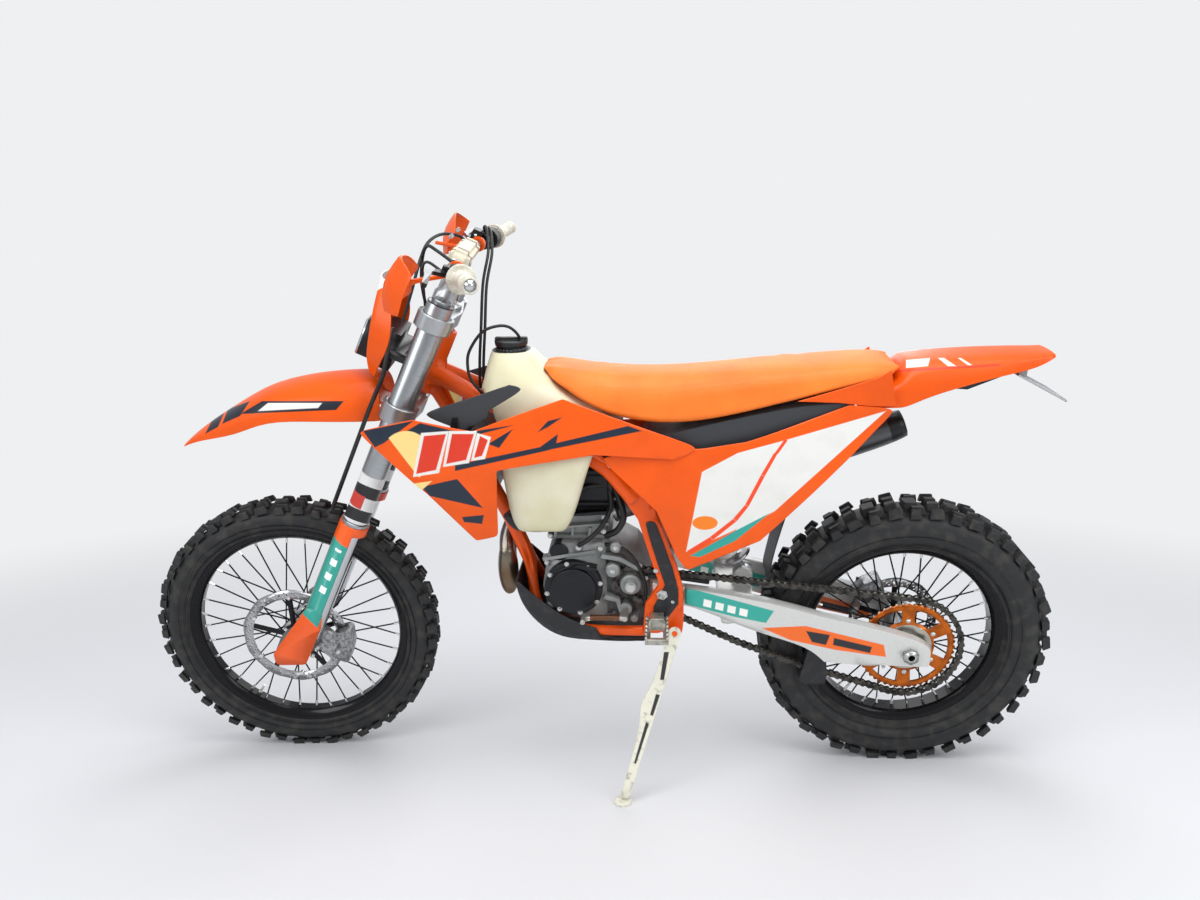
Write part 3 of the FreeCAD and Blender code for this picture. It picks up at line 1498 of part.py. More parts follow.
def spoiler():
    """Dark moulding that closes the gap between the shroud's top edge and the tank."""
    outline = spots((spoiler_x, spoiler_z), (spoiler_length, spoiler_height), spoiler_shares)
    y = spoiler_y
    stations = []
    for x_share, y_front in ((-0.05, 1.04), (0.45, 1.0), (1.05, 0.78)):
        line = [(spoiler_z - spoiler_height * 0.2, y * y_front), (spoiler_z + spoiler_height * 1.2, y * y_front * 0.93)]
        stations.append((spoiler_x + spoiler_length * x_share, line))
    return panel(outline, stations, panel_thickness, panel_corner)


keep("shroud_spoilers", both_sides(spoiler()))


def side_panel():
    outline = spots((panel_x, panel_z), (panel_length, panel_height), side_panel_shares)
    stations = []
    for x_share, row in side_panel_station_shares:
        line = []
        for z_share, y_share in row:
            line.append((panel_z + panel_height * z_share, panel_half * y_share))
        stations.append((panel_x + panel_length * x_share, line))
    return panel(outline, stations, panel_thickness, panel_corner)


keep("side_panels", both_sides(side_panel()))


def tank():
    """Fuel tank: a saddle over the spars with a lobe down each side, and its filler neck."""
    sections = []
    for z_share, front, back, half_front, half_back in tank_shares:
        z = tank_z + tank_height * z_share
        x0 = tank_x + tank_length * front
        x1 = tank_x + tank_length * back
        a, b = tank_half * half_front, tank_half * half_back
        cut = (x1 - x0) * 0.16
        sections.append([
            (x0, -a * 0.6, z), (x0 + cut, -a, z), (x1 - cut, -b, z), (x1, -b * 0.6, z),
            (x1, b * 0.6, z), (x1 - cut, b, z), (x0 + cut, a, z), (x0, a * 0.6, z),
        ])
    body = loft(sections)
    neck_foot = tank_z + tank_height - overrun
    neck = post(tank_cap_x, 0, neck_foot, neck_foot + tank_neck_height, tank_neck_radius)
    lobes = []
    for sign in (-1, 1):
        rows = []
        for z_share, front, back, inner, outer in tank_lobe_shares:
            z = tank_lobe_z + tank_lobe_height * z_share
            x0 = tank_lobe_x + tank_lobe_length * front
            x1 = tank_lobe_x + tank_lobe_length * back
            y0, y1 = sign * tank_lobe_inner * inner, sign * tank_lobe_outer * outer
            trim = (y1 - y0) * 0.25
            rows.append([(x0, y0, z), (x0, y1 - trim, z), (x0 + abs(trim), y1, z), (x1 - abs(trim), y1, z), (x1, y1 - trim, z), (x1, y0, z)])
        lobes.append(loft(rows))
    whole = fused([body, neck] + lobes)
    tunnel = [
        (spar_front_x - 4 * spar_radius, spar_front_z + 3.5 * spar_radius),
        (spar_front_x, spar_front_z + 1.6 * spar_radius),
        (spar_middle_x, spar_middle_z + 1.9 * spar_radius),
        (spar_end_x + 3 * spar_radius, spar_middle_z - spar_radius),
        (spar_end_x + 3 * spar_radius, tank_lobe_z - overrun),
        (spar_front_x - 4 * spar_radius, tank_lobe_z - overrun),
    ]
    cavity = slab(tunnel, -tank_lobe_inner, tank_lobe_inner)
    spars = [tube(spar_route(sign), spar_radius + tank_clearance, spar_bend) for sign in (-1, 1)]
    return without(whole, [cavity] + spars)


def seat():
    sections = []
    for x_share, top, low, half_top, half_low in seat_shares:
        x = seat_x + seat_length * x_share
        z1, z0 = seat_z + seat_height * top, seat_z + seat_height * low
        a, b = seat_half * half_top, seat_half * half_low
        crown = seat_crown
        sections.append([
            (x, -b, z0), (x, -(a + b) / 2, (z0 + z1) / 2 + crown), (x, -a * 0.8, z1 - crown * 0.3), (x, 0, z1),
            (x, a * 0.8, z1 - crown * 0.3), (x, (a + b) / 2, (z0 + z1) / 2 + crown), (x, b, z0),
        ])
    return loft(sections)


tank_body = tank().cut(seat())
fuel_tank = max(tank_body.Solids, key=lambda s: s.Volume)
cap_z = tank_z + tank_height - overrun + tank_neck_height
cap = post(tank_cap_x, 0, cap_z, cap_z + tank_cap_height, tank_cap_radius)
cap_grip = Part.makeBox(2 * tank_cap_radius, tank_cap_radius * 0.4, tank_cap_height, V(tank_cap_x - tank_cap_radius, -tank_cap_radius * 0.2, cap_z + tank_cap_height * 0.5))
cap_reach = post(tank_cap_x, 0, cap_z, cap_z + 3 * tank_cap_height, tank_cap_radius)
keep("fuel_tank", [fuel_tank, cap.fuse(cap_grip.common(cap_reach))])


keep("seat", seat())


def arch(rows, corner, size, thickness):
    """A thin moulding arched across, through rows of crown height, edge height and half width."""
    sections = []
    for x_share, crown, edge, half in rows:
        x = corner[0] + size[0] * x_share
        top, low, y = corner[1] + size[1] * crown, corner[1] + size[1] * edge, size[2] * half
        lift = top - low
        line = [(-y, low), (-y * 0.94, low + lift * 0.7), (-y * 0.6, top - lift * 0.06), (0, top),
                (y * 0.6, top - lift * 0.06), (y * 0.94, low + lift * 0.7), (y, low)]
        t = thickness
        inner = [(-y + t, low), (-y * 0.94 + t, low + lift * 0.7 - t * 0.6), (-y * 0.6, top - lift * 0.06 - t), (0, top - t),
                 (y * 0.6, top - lift * 0.06 - t), (y * 0.94 - t, low + lift * 0.7 - t * 0.6), (y - t, low)]
        sections.append([(x, a, b) for a, b in line + inner[::-1]])
    return loft(sections)


keep("rear_mudguard", arch(tail_shares, (tail_x, tail_z), (tail_length, tail_height, tail_half), tail_thickness))

# Rear suspension, chain drive and rear brake


def swingarm():
    """Two deep arms joined by a cross-member, on a pivot tube that runs between the frame plates."""
    corner, size = (arm_x, arm_z), (arm_length, arm_height)
    pieces = []
    for sign in (-1, 1):
        low, high = sorted((sign * arm_inner, sign * (arm_inner + arm_thickness)))
        pieces.append(slab(spots(corner, size, arm_shares), low, high))
        low, high = sorted((sign * arm_front_inner, sign * arm_front_outer))
        pieces.append(slab(spots(corner, size, arm_front_shares), low, high))
    pieces.append(slab(spots(corner, size, arm_tab_shares), -arm_inner - arm_thickness, -arm_inner))
    tube_half = pivot_plate_inner - seat_gap
    pieces.append(prism((pivot_x, -tube_half, pivot_z), (pivot_x, tube_half, pivot_z), pivot_tube_radius))
    pieces.append(slab(spots(corner, size, arm_bridge_shares), -arm_inner - overrun, arm_inner + overrun))
    ear_y = shock_eye_width / 2 + seat_gap
    for low, high in ((-ear_y - shock_ear_width, -ear_y), (ear_y, ear_y + shock_ear_width)):
        pieces.append(slab(spots(corner, size, arm_ear_shares), low, high))
    body = fused(pieces)
    reach = 2 * arm_inner
    return body.cut(puck(rear_axle[0], rear_axle[1], rear_axle_radius, -reach, reach, hugging=True))


keep("swingarm", swingarm())


def chain_angles():
    """Direction of the outward normals where the straight runs meet the sprockets, top and bottom."""
    run_x, run_z = rear_axle[0] - output_x, rear_axle[1] - output_z
    slope = math.atan2(run_z, run_x)
    spread = math.asin((rear_chain_radius - front_chain_radius) / math.hypot(run_x, run_z))
    return slope + math.pi / 2 + spread, slope - math.pi / 2 - spread


def wrapped(center, radius, start, end, steps):
    """Points round a wheel, from one angle to another, whose chords touch the radius."""
    turns = [start + (end - start) * i / steps for i in range(steps + 1)]
    reach = radius / math.cos((end - start) / steps / 2)
    return [(center[0] + reach * math.cos(t), center[1] + reach * math.sin(t)) for t in turns]


def chain_path():
    """Centre line of the chain: round both sprockets, straight on top and slack below."""
    top, low = chain_angles()
    rear = wrapped(rear_axle, rear_chain_radius, top, low, rear_wrap_steps)
    front = wrapped((output_x, output_z), front_chain_radius, low + 2 * math.pi, top, front_wrap_steps)
    start, end = rear[-1], front[0]
    slack = []
    for a, drop in chain_slack_shares:
        slack.append((start[0] + (end[0] - start[0]) * a, start[1] + (end[1] - start[1]) * a - chain_sag * drop))
    return rear + slack + front


def offset_loop(path, distance):
    """A closed path, traced clockwise, set off outward by a distance."""
    line = []
    for i, here in enumerate(path):
        before = path[i - 1]
        after = path[(i + 1) % len(path)]
        a = V(here[0] - before[0], here[1] - before[1], 0).normalize()
        b = V(after[0] - here[0], after[1] - here[1], 0).normalize()
        normal = V(-a.y - b.y, a.x + b.x, 0).normalize()
        stretch = distance / normal.dot(V(-a.y, a.x, 0))
        line.append((here[0] + normal.x * stretch, here[1] + normal.y * stretch))
    return line


def drive_chain():
    """The chain as one loop: a band of rollers with a pair of side plates at every other link."""
    path = chain_path()
    half = chain_band_width / 2
    band = slab(offset_loop(path, chain_band_height / 2), chain_y - half, chain_y + half)
    hole = slab(offset_loop(path, -chain_band_height / 2), chain_y - 2 * half, chain_y + 2 * half)
    plates = []
    length = chain_pitch * chain_plate_share
    along = chain_pitch
    for a, b in zip(path, path[1:] + path[:1]):
        start, end = V(a[0], chain_y, a[1]), V(b[0], chain_y, b[1])
        run = end - start
        while along < run.Length:
            spot = start + run * (along / run.Length)
            corner = V(-length / 2, -chain_plate_width / 2, -chain_link_height / 2)
            plate = Part.makeBox(length, chain_plate_width, chain_link_height, corner)
            plate.rotate(V(0, 0, 0), V(0, 1, 0), -math.degrees(math.atan2(run.z, run.x)))
            plate.translate(spot)
            plates.append(plate)
            along += 2 * chain_pitch
        along -= run.Length
    return band.cut(hole).multiFuse(plates)


def rear_sprocket():
    """Toothed ring on six arms: pointed teeth round the rim and windows that lighten it."""
    low, high = chain_y - rear_sprocket_thickness / 2, chain_y + rear_sprocket_thickness / 2
    outline = []
    for i in range(2 * rear_sprocket_teeth):
        t = math.pi * i / rear_sprocket_teeth
        r = rear_sprocket_radius - rear_sprocket_tooth * (i % 2)
        outline.append((rear_axle[0] + r * math.cos(t), rear_axle[1] + r * math.sin(t)))
    plate = slab(outline, low, high)
    windows = []
    half = math.pi / rear_sprocket_window_count
    for i in range(rear_sprocket_window_count):
        middle = 2 * half * i
        line = wrapped(rear_axle, rear_sprocket_window_outer, middle - half * 0.68, middle + half * 0.68, 4)
        line += wrapped(rear_axle, rear_sprocket_window_inner, middle + half * 0.6, middle - half * 0.6, 2)
        windows.append(slab(line, low - overrun, high + overrun))
    bore = puck(rear_axle[0], rear_axle[1], rear_hub_end, low - overrun, high + overrun)
    return without(plate, windows + [bore])


def chain_slider():
    """The moulding that the upper run slides on, over the swingarm's pivot."""
    top, low = chain_angles()
    normal = V(math.cos(top), 0, math.sin(top))
    along = V(normal.z, 0, -normal.x)
    start = V(output_x, 0, output_z) + normal * (front_chain_radius - chain_link_height / 2 - seat_gap)
    high_start = start + along * (slider_x - output_x)
    high_end = high_start + along * slider_length
    floor = pivot_z + pivot_tube_radius + seat_gap
    outline = [
        (high_start.x, high_start.z),
        (high_end.x, high_end.z),
        (high_end.x, high_end.z - pivot_tube_radius / 2),
        (pivot_x + pivot_tube_radius, floor),
        (high_start.x, floor),
    ]
    return slab(outline, -arm_front_inner + seat_gap, -arm_front_inner + seat_gap + slider_width)


def chain_guide():
    """A block hung from the swingarm's lower tab, slotted for the lower run."""
    outline = spots((guide_x, guide_z), (guide_length, guide_height), guide_shares)
    half = chain_plate_width / 2 + seat_gap
    outer_low = -arm_inner + seat_gap
    block = slab(outline, outer_low, chain_y + half + guide_wall)
    path = chain_path()
    reach = chain_link_height / 2 + 2 * seat_gap
    hole = slab(offset_loop(path, reach), chain_y - half, chain_y + half)
    core = slab(offset_loop(path, -reach), chain_y - 2 * half, chain_y + 2 * half)
    return max(block.cut(hole.cut(core)).Solids, key=lambda solid: solid.Volume)


keep("drive_chain", drive_chain())
keep("rear_sprocket", rear_sprocket())
keep("chain_guides", [chain_slider(), chain_guide()])


def rear_axle_bar():
    """Hollow rear axle with a nut outside each arm."""
    nut_y = arm_inner + arm_thickness + seat_gap
    pieces = [puck(rear_axle[0], rear_axle[1], rear_axle_radius, -rear_axle_half, rear_axle_half)]
    for y in (-nut_y - axle_nut_width, nut_y):
        pieces.append(puck(rear_axle[0], rear_axle[1], axle_nut_radius, y, y + axle_nut_width, 6))
    bore = puck(rear_axle[0], rear_axle[1], rear_axle_bore, -2 * rear_axle_half, 2 * rear_axle_half, 8)
    return fused(pieces).cut(bore)


keep("rear_axle", rear_axle_bar())


def rear_caliper_body():
    """Rear caliper, on a bracket that lies on the inner face of the right arm."""
    body = caliper(rear_caliper_angle, rear_disc_radius, rear_disc_y, rear_caliper_out, rear_caliper_in,
                   caliper_half_angle, rear_axle)
    turn = math.radians(rear_caliper_angle)
    reach = rear_disc_radius
    x, z = rear_axle[0] + reach * math.cos(turn), rear_axle[1] + reach * math.sin(turn)
    half = caliper_depth / 2
    outline = [(x - half, z + half / 2), (x + half, z + half / 2), (x + half, z - 2.2 * half), (x - half, z - 1.8 * half)]
    plate = slab(outline, rear_disc_y + rear_caliper_out - 2 * overrun, arm_inner - seat_gap)
    return body.fuse(plate)


keep("rear_caliper", rear_caliper_body())


def shock():
    """Rear shock absorber: eye, shaft, lower spring seat, body, collar and a reservoir at its head."""
    low, high = V(shock_low_x, 0, shock_low_z), V(shock_high_x, 0, shock_high_z)
    run = high - low
    side = V(0, shock_eye_width / 2, 0)
    unit = V(run).normalize()
    seat = unit * shock_seat_width
    low_seat, high_seat = low + run * shock_low_seat_share, low + run * shock_high_seat_share
    pieces = [
        prism(low - side, low + side, shock_eye_radius, 10),
        prism(low, low + run * 0.5, shock_shaft_radius, 8),
        prism(low_seat - seat, low_seat, shock_seat_radius, 12),
        prism(low + run * 0.45, high - unit * shock_neck, shock_body_radius, 12),
        prism(low + run * 0.5, high, shock_neck_radius, 8),
        prism(high_seat, high_seat + seat, shock_seat_radius, 12),
        prism(high - side, high + side, shock_eye_radius, 10),
    ]
    return fused(pieces)


def spring():
    """The coil between the shock absorber's two seats."""
    low, high = V(shock_low_x, 0, shock_low_z), V(shock_high_x, 0, shock_high_z)
    run = high - low
    unit = V(run).normalize()
    start = low + run * shock_low_seat_share + unit * (spring_wire + seat_gap)
    end = low + run * shock_high_seat_share - unit * (spring_wire + seat_gap)
    across = V(0, 1, 0)
    up = unit.cross(across)
    rings = []
    count = spring_turns * spring_turn_steps
    for i in range(count + 1):
        turn = 2 * math.pi * i / spring_turn_steps
        out = across * math.cos(turn) + up * math.sin(turn)
        middle = start + (end - start) * (i / count) + out * spring_radius
        rings.append([
            middle + out * spring_wire, middle + unit * spring_wire, middle - out * spring_wire, middle - unit * spring_wire,
        ])
    return skin(rings)


keep("shock_absorber", shock())
keep("shock_spring", spring())

# How the bike parks: lean and pitch, worked out from the tyres, and where its stand meets the ground


def turned_and_leaned(shape, steered):
    copy = shape.copy()
    if steered:
        copy.rotate(steer_foot, steer_axis, steer_deg)
    copy.rotate(V(0, 0, 0), V(1, 0, 0), lean_deg)
    return copy


def lowest(points, pitch):
    turn = math.radians(pitch)
    return min(p.z * math.cos(turn) - p.x * math.sin(turn) for p in points)


steer_axis = V(math.sin(rake), 0, math.cos(rake))
steer_foot = V(*fork_point(steer_x, 0))
front_points = [v.Point for v in turned_and_leaned(nodes["front_tyre"], True).Vertexes]
rear_points = [v.Point for v in turned_and_leaned(nodes["rear_tyre"], False).Vertexes]
pitch_deg = 0
for i in range(8):
    gap = lowest(front_points, pitch_deg) - lowest(rear_points, pitch_deg)
    pitch_deg -= math.degrees(gap / wheelbase)
drop = lowest(rear_points, pitch_deg)


def upright(point):
    """A place given on the ground the bike parks on, in the upright bike's own directions."""
    place = FreeCAD.Rotation(V(0, 1, 0), -pitch_deg).multVec(V(*point) + V(0, 0, drop))
    return FreeCAD.Rotation(V(1, 0, 0), -lean_deg).multVec(place)


ground_up = upright((0, 0, 1)) - upright((0, 0, 0))
stand_foot = upright((stand_foot_x, stand_foot_y, 0))

# Side stand


def stand_axes():
    """The stand's own directions: down its leg, the way it folds, and its pivot's axis."""
    leg = stand_foot - V(stand_pivot_x, stand_pivot_y, stand_pivot_z)
    down = V(leg).normalize()
    folded = V(stand_folded_x, stand_folded_y, stand_folded_z)
    axis = down.cross(folded).normalize()
    return down, axis.cross(down), axis, leg.Length


def in_stand(shape):
    """Takes a piece drawn along the stand's own directions to its pivot."""
    down, fold, axis, length = stand_axes()
    copy = shape.copy()
    grid = FreeCAD.Matrix(
        down.x, fold.x, axis.x, stand_pivot_x,
        down.y, fold.y, axis.y, stand_pivot_y,
        down.z, fold.z, axis.z, stand_pivot_z,
        0, 0, 0, 1,
    )
    copy.Placement = FreeCAD.Placement(grid)
    return copy


def side_stand():
    """A forged leg with an eye at its pivot and a round foot that lies flat on the ground."""
    down, fold, axis, length = stand_axes()
    half = stand_thickness / 2
    leg_points = [V(length * a, stand_width * b, -half) for a, b in stand_leg_shares]
    leg = Part.Face(Part.makePolygon(leg_points + leg_points[:1])).extrude(V(0, 0, stand_thickness))
    eye = post(0, 0, -half, half, stand_eye_radius)
    hole = post(0, 0, -stand_thickness, stand_thickness, stand_pin_radius + fit_gap, hugging=True)
    foot = prism(stand_foot, stand_foot + ground_up * stand_foot_thickness, stand_foot_half, 12)
    return in_stand(leg.fuse(eye).cut(hole)).fuse(foot)


def stand_bracket():
    """What carries the stand on the frame: a plate, a slanted boss and the pin."""
    half = stand_thickness / 2
    gap = half + stand_boss_gap
    boss = post(0, 0, -gap - stand_boss_length, -gap, stand_boss_radius, 8)
    pin = Part.makeCylinder(stand_pin_radius, 2 * gap + stand_boss_length / 2, V(0, 0, -gap - stand_boss_length / 2))
    outline = spots((pivot_plate_x, pivot_plate_z), (pivot_plate_length, pivot_plate_height), stand_web_shares)
    web = slab(outline, -pivot_plate_inner - stand_web_thickness, -pivot_plate_inner)
    return [in_stand(boss), in_stand(pin), web]


def shock_mount():
    """Two ears that carry the head of the shock absorber on the frame's upper tie."""
    ears = []
    start = shock_eye_width / 2 + seat_gap
    outline = spots((spar_end_x, spar_end_z), (shock_high_x - spar_end_x, 2 * spar_radius), shock_mount_shares)
    for low, high in ((-start - shock_ear_width, -start), (start, start + shock_ear_width)):
        ears.append(slab(outline, low, high))
    return ears


def main_frame():
    head, bores = head_tube()
    start = fork_point(steer_x, head_low + head_tube_radius * 1.5, 0)
    down = tube([start, (down_middle_x, 0, down_middle_z), (down_low_x, 0, down_low_z)], down_tube_radius, spar_bend)
    half = pivot_plate_inner + overrun
    ties = [
        prism((x, -half, z), (x, half, z), cradle_radius, 8)
        for x, z in ((tie_low_x, tie_low_z), (spar_end_x, spar_end_z + spar_radius))
    ]
    body = fused([head, down] + ties + shock_mount() + stand_bracket() + frame_side(-1) + frame_side(1))
    return without(body, bores)


keep("main_frame", main_frame())
keep("side_stand", side_stand())

# Foot controls and guards


def footpeg(sign):
    """A toothed footpeg on a lug beside the frame plate."""
    start = pivot_plate_inner + pivot_plate_thickness + frame_guard_thickness + 2 * seat_gap
    lug = Part.makeBox(peg_lug, peg_lug, peg_lug, V(peg_x - peg_lug / 2, start, peg_z - peg_lug / 2))
    body = Part.makeBox(peg_width, peg_length, peg_height, V(peg_x - peg_width / 2, start + peg_lug / 2, peg_z))
    pitch = peg_length / peg_tooth_count
    window = Part.makeBox(
        peg_width - 2 * peg_height,
        peg_length - peg_lug / 2 - peg_height,
        4 * peg_height,
        V(peg_x - peg_width / 2 + peg_height, start + peg_lug, peg_z - peg_height),
    )
    teeth = []
    for i in range(peg_tooth_count):
        y = start + peg_lug / 2 + pitch * (i + 0.25)
        for x in (peg_x - peg_width / 2, peg_x + peg_width / 2 - peg_tooth):
            teeth.append(Part.makeBox(peg_tooth, pitch / 2, peg_tooth, V(x, y, peg_z + peg_height)))
    peg = fused([lug, body.cut(window)] + teeth)
    return peg if sign > 0 else mirrored(peg)


def gear_lever():
    """Gear lever: its shaft out of the case, the arm along the cover and the tip for the boot."""
    root = (gear_shaft_x, -case_inner_y - seat_gap, gear_shaft_z)
    elbow = (gear_shaft_x, gear_outer_y, gear_shaft_z)
    tip = (gear_tip_x, gear_tip_y, gear_tip_z)
    shaft = prism(root, (gear_shaft_x, gear_outer_y - gear_shaft_radius, gear_shaft_z), gear_shaft_radius)
    arm = prism(elbow, tip, gear_shaft_radius, 8)
    peg = prism((gear_tip_x, gear_tip_y + gear_shaft_radius, gear_tip_z), (gear_tip_x, gear_tip_y - gear_peg_length, gear_tip_z),
                gear_shaft_radius, 8)
    return fused([shaft, arm, peg])


def brake_pedal():
    """Rear brake pedal: boss on the right frame plate, long arm and toothed pad."""
    face = pivot_plate_inner + pivot_plate_thickness + pedal_stand_off
    boss = prism((pedal_pivot_x, face, pedal_pivot_z), (pedal_pivot_x, pedal_y + pedal_radius, pedal_pivot_z), 2 * pedal_radius)
    arm = tube([(pedal_pivot_x, pedal_y, pedal_pivot_z), (pedal_middle_x, pedal_y, pedal_middle_z),
                (pedal_tip_x, pedal_tip_y, pedal_tip_z)], pedal_radius, bar_bend)
    pad = Part.makeBox(pedal_pad, pedal_pad, pedal_radius,
                       V(pedal_tip_x - pedal_pad / 2, pedal_tip_y - pedal_pad / 2, pedal_tip_z))
    return fused([boss, arm, pad])


keep("footpegs", [footpeg(-1), footpeg(1)])
keep("foot_controls", [gear_lever(), brake_pedal()])


def skid_plate():
    """A tray below the engine that rises ahead of it, with a wall up each side."""
    corner, size = (skid_x, skid_z), (skid_length, skid_height)
    low = spots(corner, size, skid_floor_shares)
    tray = slab(low + [(a, b) for a, b in spots(corner, size, skid_top_shares)], -skid_half, skid_half)
    strip = thicken(low, -skid_thickness)
    inner_half = skid_half - skid_thickness
    inside = strip[len(low):][::-1]
    top = size[1] * 2
    hollow = slab(inside + [(inside[-1][0] + size[0], inside[-1][1]), (inside[-1][0] + size[0], inside[-1][1] + top),
                            (inside[0][0], inside[0][1] + top)], -inner_half, inner_half)
    return tray.cut(hollow)


keep("frame_guards", [frame_guard(-1), frame_guard(1), skid_plate()])


# Airbox and subframe, radiators and intake


def airbox():
    """Moulded airbox and subframe under the seat, with a flap ahead of the rear wheel."""
    corner, size = (airbox_x, airbox_z), (airbox_length, airbox_height)
    upper = slab(spots(corner, size, airbox_shares), -airbox_half, airbox_half)
    lower = slab(spots(corner, size, airbox_low_shares), airbox_low_from, airbox_low_to)
    strip = thicken(spots(corner, size, flap_shares), flap_thickness)
    flap = slab(strip, -flap_half, flap_half - flap_thickness * 2)
    return fused([upper, lower, flap])


def radiator():
    """The right-hand radiator, with a lug on the spar above it and a boss that the spoiler is screwed to."""
    corner, size = (radiator_x, radiator_z), (radiator_length, radiator_height)
    core = slab(spots(corner, size, radiator_shares), radiator_inner, radiator_outer)
    half = radiator_lug_width / 2
    lug = slab(spots(corner, size, radiator_lug_shares), radiator_inner - half, radiator_inner + half)
    boss = slab(spots(corner, size, radiator_boss_shares), radiator_outer - half, radiator_outer + half)
    spar = tube(spar_route(1), spar_radius + seat_gap, spar_bend)
    body = fused([core, lug, boss]).cut(spar).cut(mirrored(spoiler()))
    return max(body.Solids, key=lambda solid: solid.Volume)


def intake():
    """Throttle body and its rubber boots, from the head back to the airbox."""
    start = V(cylinder_x + cylinder_length + seat_gap, 0, intake_start_z)
    end = V(intake_end_x, 0, intake_end_z)
    run = end - start
    middle = start + run * 0.35
    return fused([
        prism(start, end, intake_radius, 10),
        prism(middle, middle + V(run).normalize() * intake_box_length, intake_box_radius, 8),
    ])


keep("airbox", airbox())
keep("radiators", both_sides(radiator()))
keep("intake", intake())


def under_mudguard(shape):
    """What is left of a piece below the rear mudguard, so that it lies against its underside."""
    return max(shape.cut(nodes["rear_mudguard"]).Solids, key=lambda solid: solid.Volume)


def tail_lamp():
    """Rear lamp housing below the mudguard, with its lens behind it and a spine up to the moulding."""
    corner, size = (lamp_tail_x, lamp_tail_z), (lamp_tail_length, lamp_tail_height)
    housing = slab(spots(corner, size, lamp_tail_shares), -lamp_tail_half, lamp_tail_half)
    lens = slab(spots(corner, size, lamp_tail_lens_shares), -lamp_tail_half, lamp_tail_half)
    spine = slab(spots(corner, size, lamp_tail_spine_shares), -lamp_tail_spine, lamp_tail_spine)
    return [under_mudguard(fused([housing, spine])), lens]


def plate_bracket():
    """A blank plate that slopes down behind the mudguard, on a block bolted up under it."""
    corner, size = (plate_x, plate_z), (plate_length, plate_height)
    sheet = slab(spots(corner, size, plate_shares), -plate_half, plate_half)
    block = slab(spots(corner, size, plate_block_shares), -plate_block_half, plate_block_half)
    return under_mudguard(fused([sheet, block]))


keep("tail_lamp", tail_lamp() + [plate_bracket()])

# The bike as it parks: front end turned, leaned on to the stand, both tyres and the foot on the ground

front_wheel_nodes = ("front_tyre", "front_rim", "front_hub", "front_disc")
steered_nodes = front_wheel_nodes + (
    "fork_legs", "fork_tubes", "triple_clamps", "fork_guards", "front_axle", "handlebar", "grips", "bar_pad",
    "hand_controls", "handguards", "front_mudguard", "headlight_mask", "headlight", "front_caliper", "front_brake_hose",
)
parked = {name: turned_and_leaned(shape, name in steered_nodes) for name, shape in nodes.items()}
for shape in parked.values():
    shape.rotate(V(0, 0, 0), V(0, 1, 0), pitch_deg)
    shape.translate(V(0, 0, -drop))
whole = Part.makeCompound(list(parked.values())).BoundBox
center_x, center_y = (whole.XMin + whole.XMax) / 2, (whole.YMin + whole.YMax) / 2
print("pitch", pitch_deg, "drop", drop, "center", center_x, center_y)
os.makedirs("parts", exist_ok=True)
for name, shape in parked.items():
    shape.translate(V(-center_x, -center_y, 0))
    shape.exportStep("parts/" + name + ".step")
    box = shape.BoundBox
    print(name, len(shape.Solids), shape.isValid(), round(shape.Volume), [round(v) for v in (box.XMin, box.XMax, box.YMin, box.YMax)], round(box.ZMin, 2), round(box.ZMax))
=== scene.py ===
import json
import math
import bmesh
import bpy
import numpy
from mathutils import Matrix, Vector


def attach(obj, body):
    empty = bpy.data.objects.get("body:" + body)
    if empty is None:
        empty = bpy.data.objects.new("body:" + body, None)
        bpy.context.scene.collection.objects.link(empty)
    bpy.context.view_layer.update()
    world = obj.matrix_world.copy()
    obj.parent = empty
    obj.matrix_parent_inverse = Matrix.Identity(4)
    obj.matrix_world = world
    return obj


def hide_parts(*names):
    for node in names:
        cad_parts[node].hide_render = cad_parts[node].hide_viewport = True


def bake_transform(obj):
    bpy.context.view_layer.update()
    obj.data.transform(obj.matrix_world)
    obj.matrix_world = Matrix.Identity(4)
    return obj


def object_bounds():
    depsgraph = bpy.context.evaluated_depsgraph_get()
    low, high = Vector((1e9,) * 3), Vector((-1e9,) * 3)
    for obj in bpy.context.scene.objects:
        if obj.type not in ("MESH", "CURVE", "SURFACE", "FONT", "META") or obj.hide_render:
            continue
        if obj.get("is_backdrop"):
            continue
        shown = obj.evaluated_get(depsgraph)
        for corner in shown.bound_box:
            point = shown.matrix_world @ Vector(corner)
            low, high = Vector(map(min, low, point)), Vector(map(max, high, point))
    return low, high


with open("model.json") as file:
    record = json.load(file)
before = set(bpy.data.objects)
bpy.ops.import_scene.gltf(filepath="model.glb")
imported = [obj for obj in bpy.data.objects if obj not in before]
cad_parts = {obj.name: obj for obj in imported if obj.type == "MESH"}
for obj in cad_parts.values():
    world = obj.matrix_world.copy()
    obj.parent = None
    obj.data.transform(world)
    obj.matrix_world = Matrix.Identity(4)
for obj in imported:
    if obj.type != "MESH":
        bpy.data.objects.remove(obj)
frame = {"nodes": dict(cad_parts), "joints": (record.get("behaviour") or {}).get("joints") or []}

cad_box = [list(corner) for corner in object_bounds()]

# The parked machine: it leans to its left on the side stand with the front end turned a little left. Every piece
# is made in one of the machine's own sets of directions, in millimetres, front to -X, right to +Y and up to +Z, and is
# then brought to where the machine stands: bike for the chassis, fork for the front end, and one for each wheel.
mm = 0.001
joints = {joint["name"]: joint for joint in frame["joints"]}
rake = math.radians(26.1)
leaned = Matrix.Rotation(math.radians(-0.1222), 4, "Y") @ Matrix.Rotation(math.radians(11.94), 4, "X")
steered = leaned @ Matrix.Rotation(math.radians(4.35), 4, Vector((math.sin(rake), 0, math.cos(rake))))


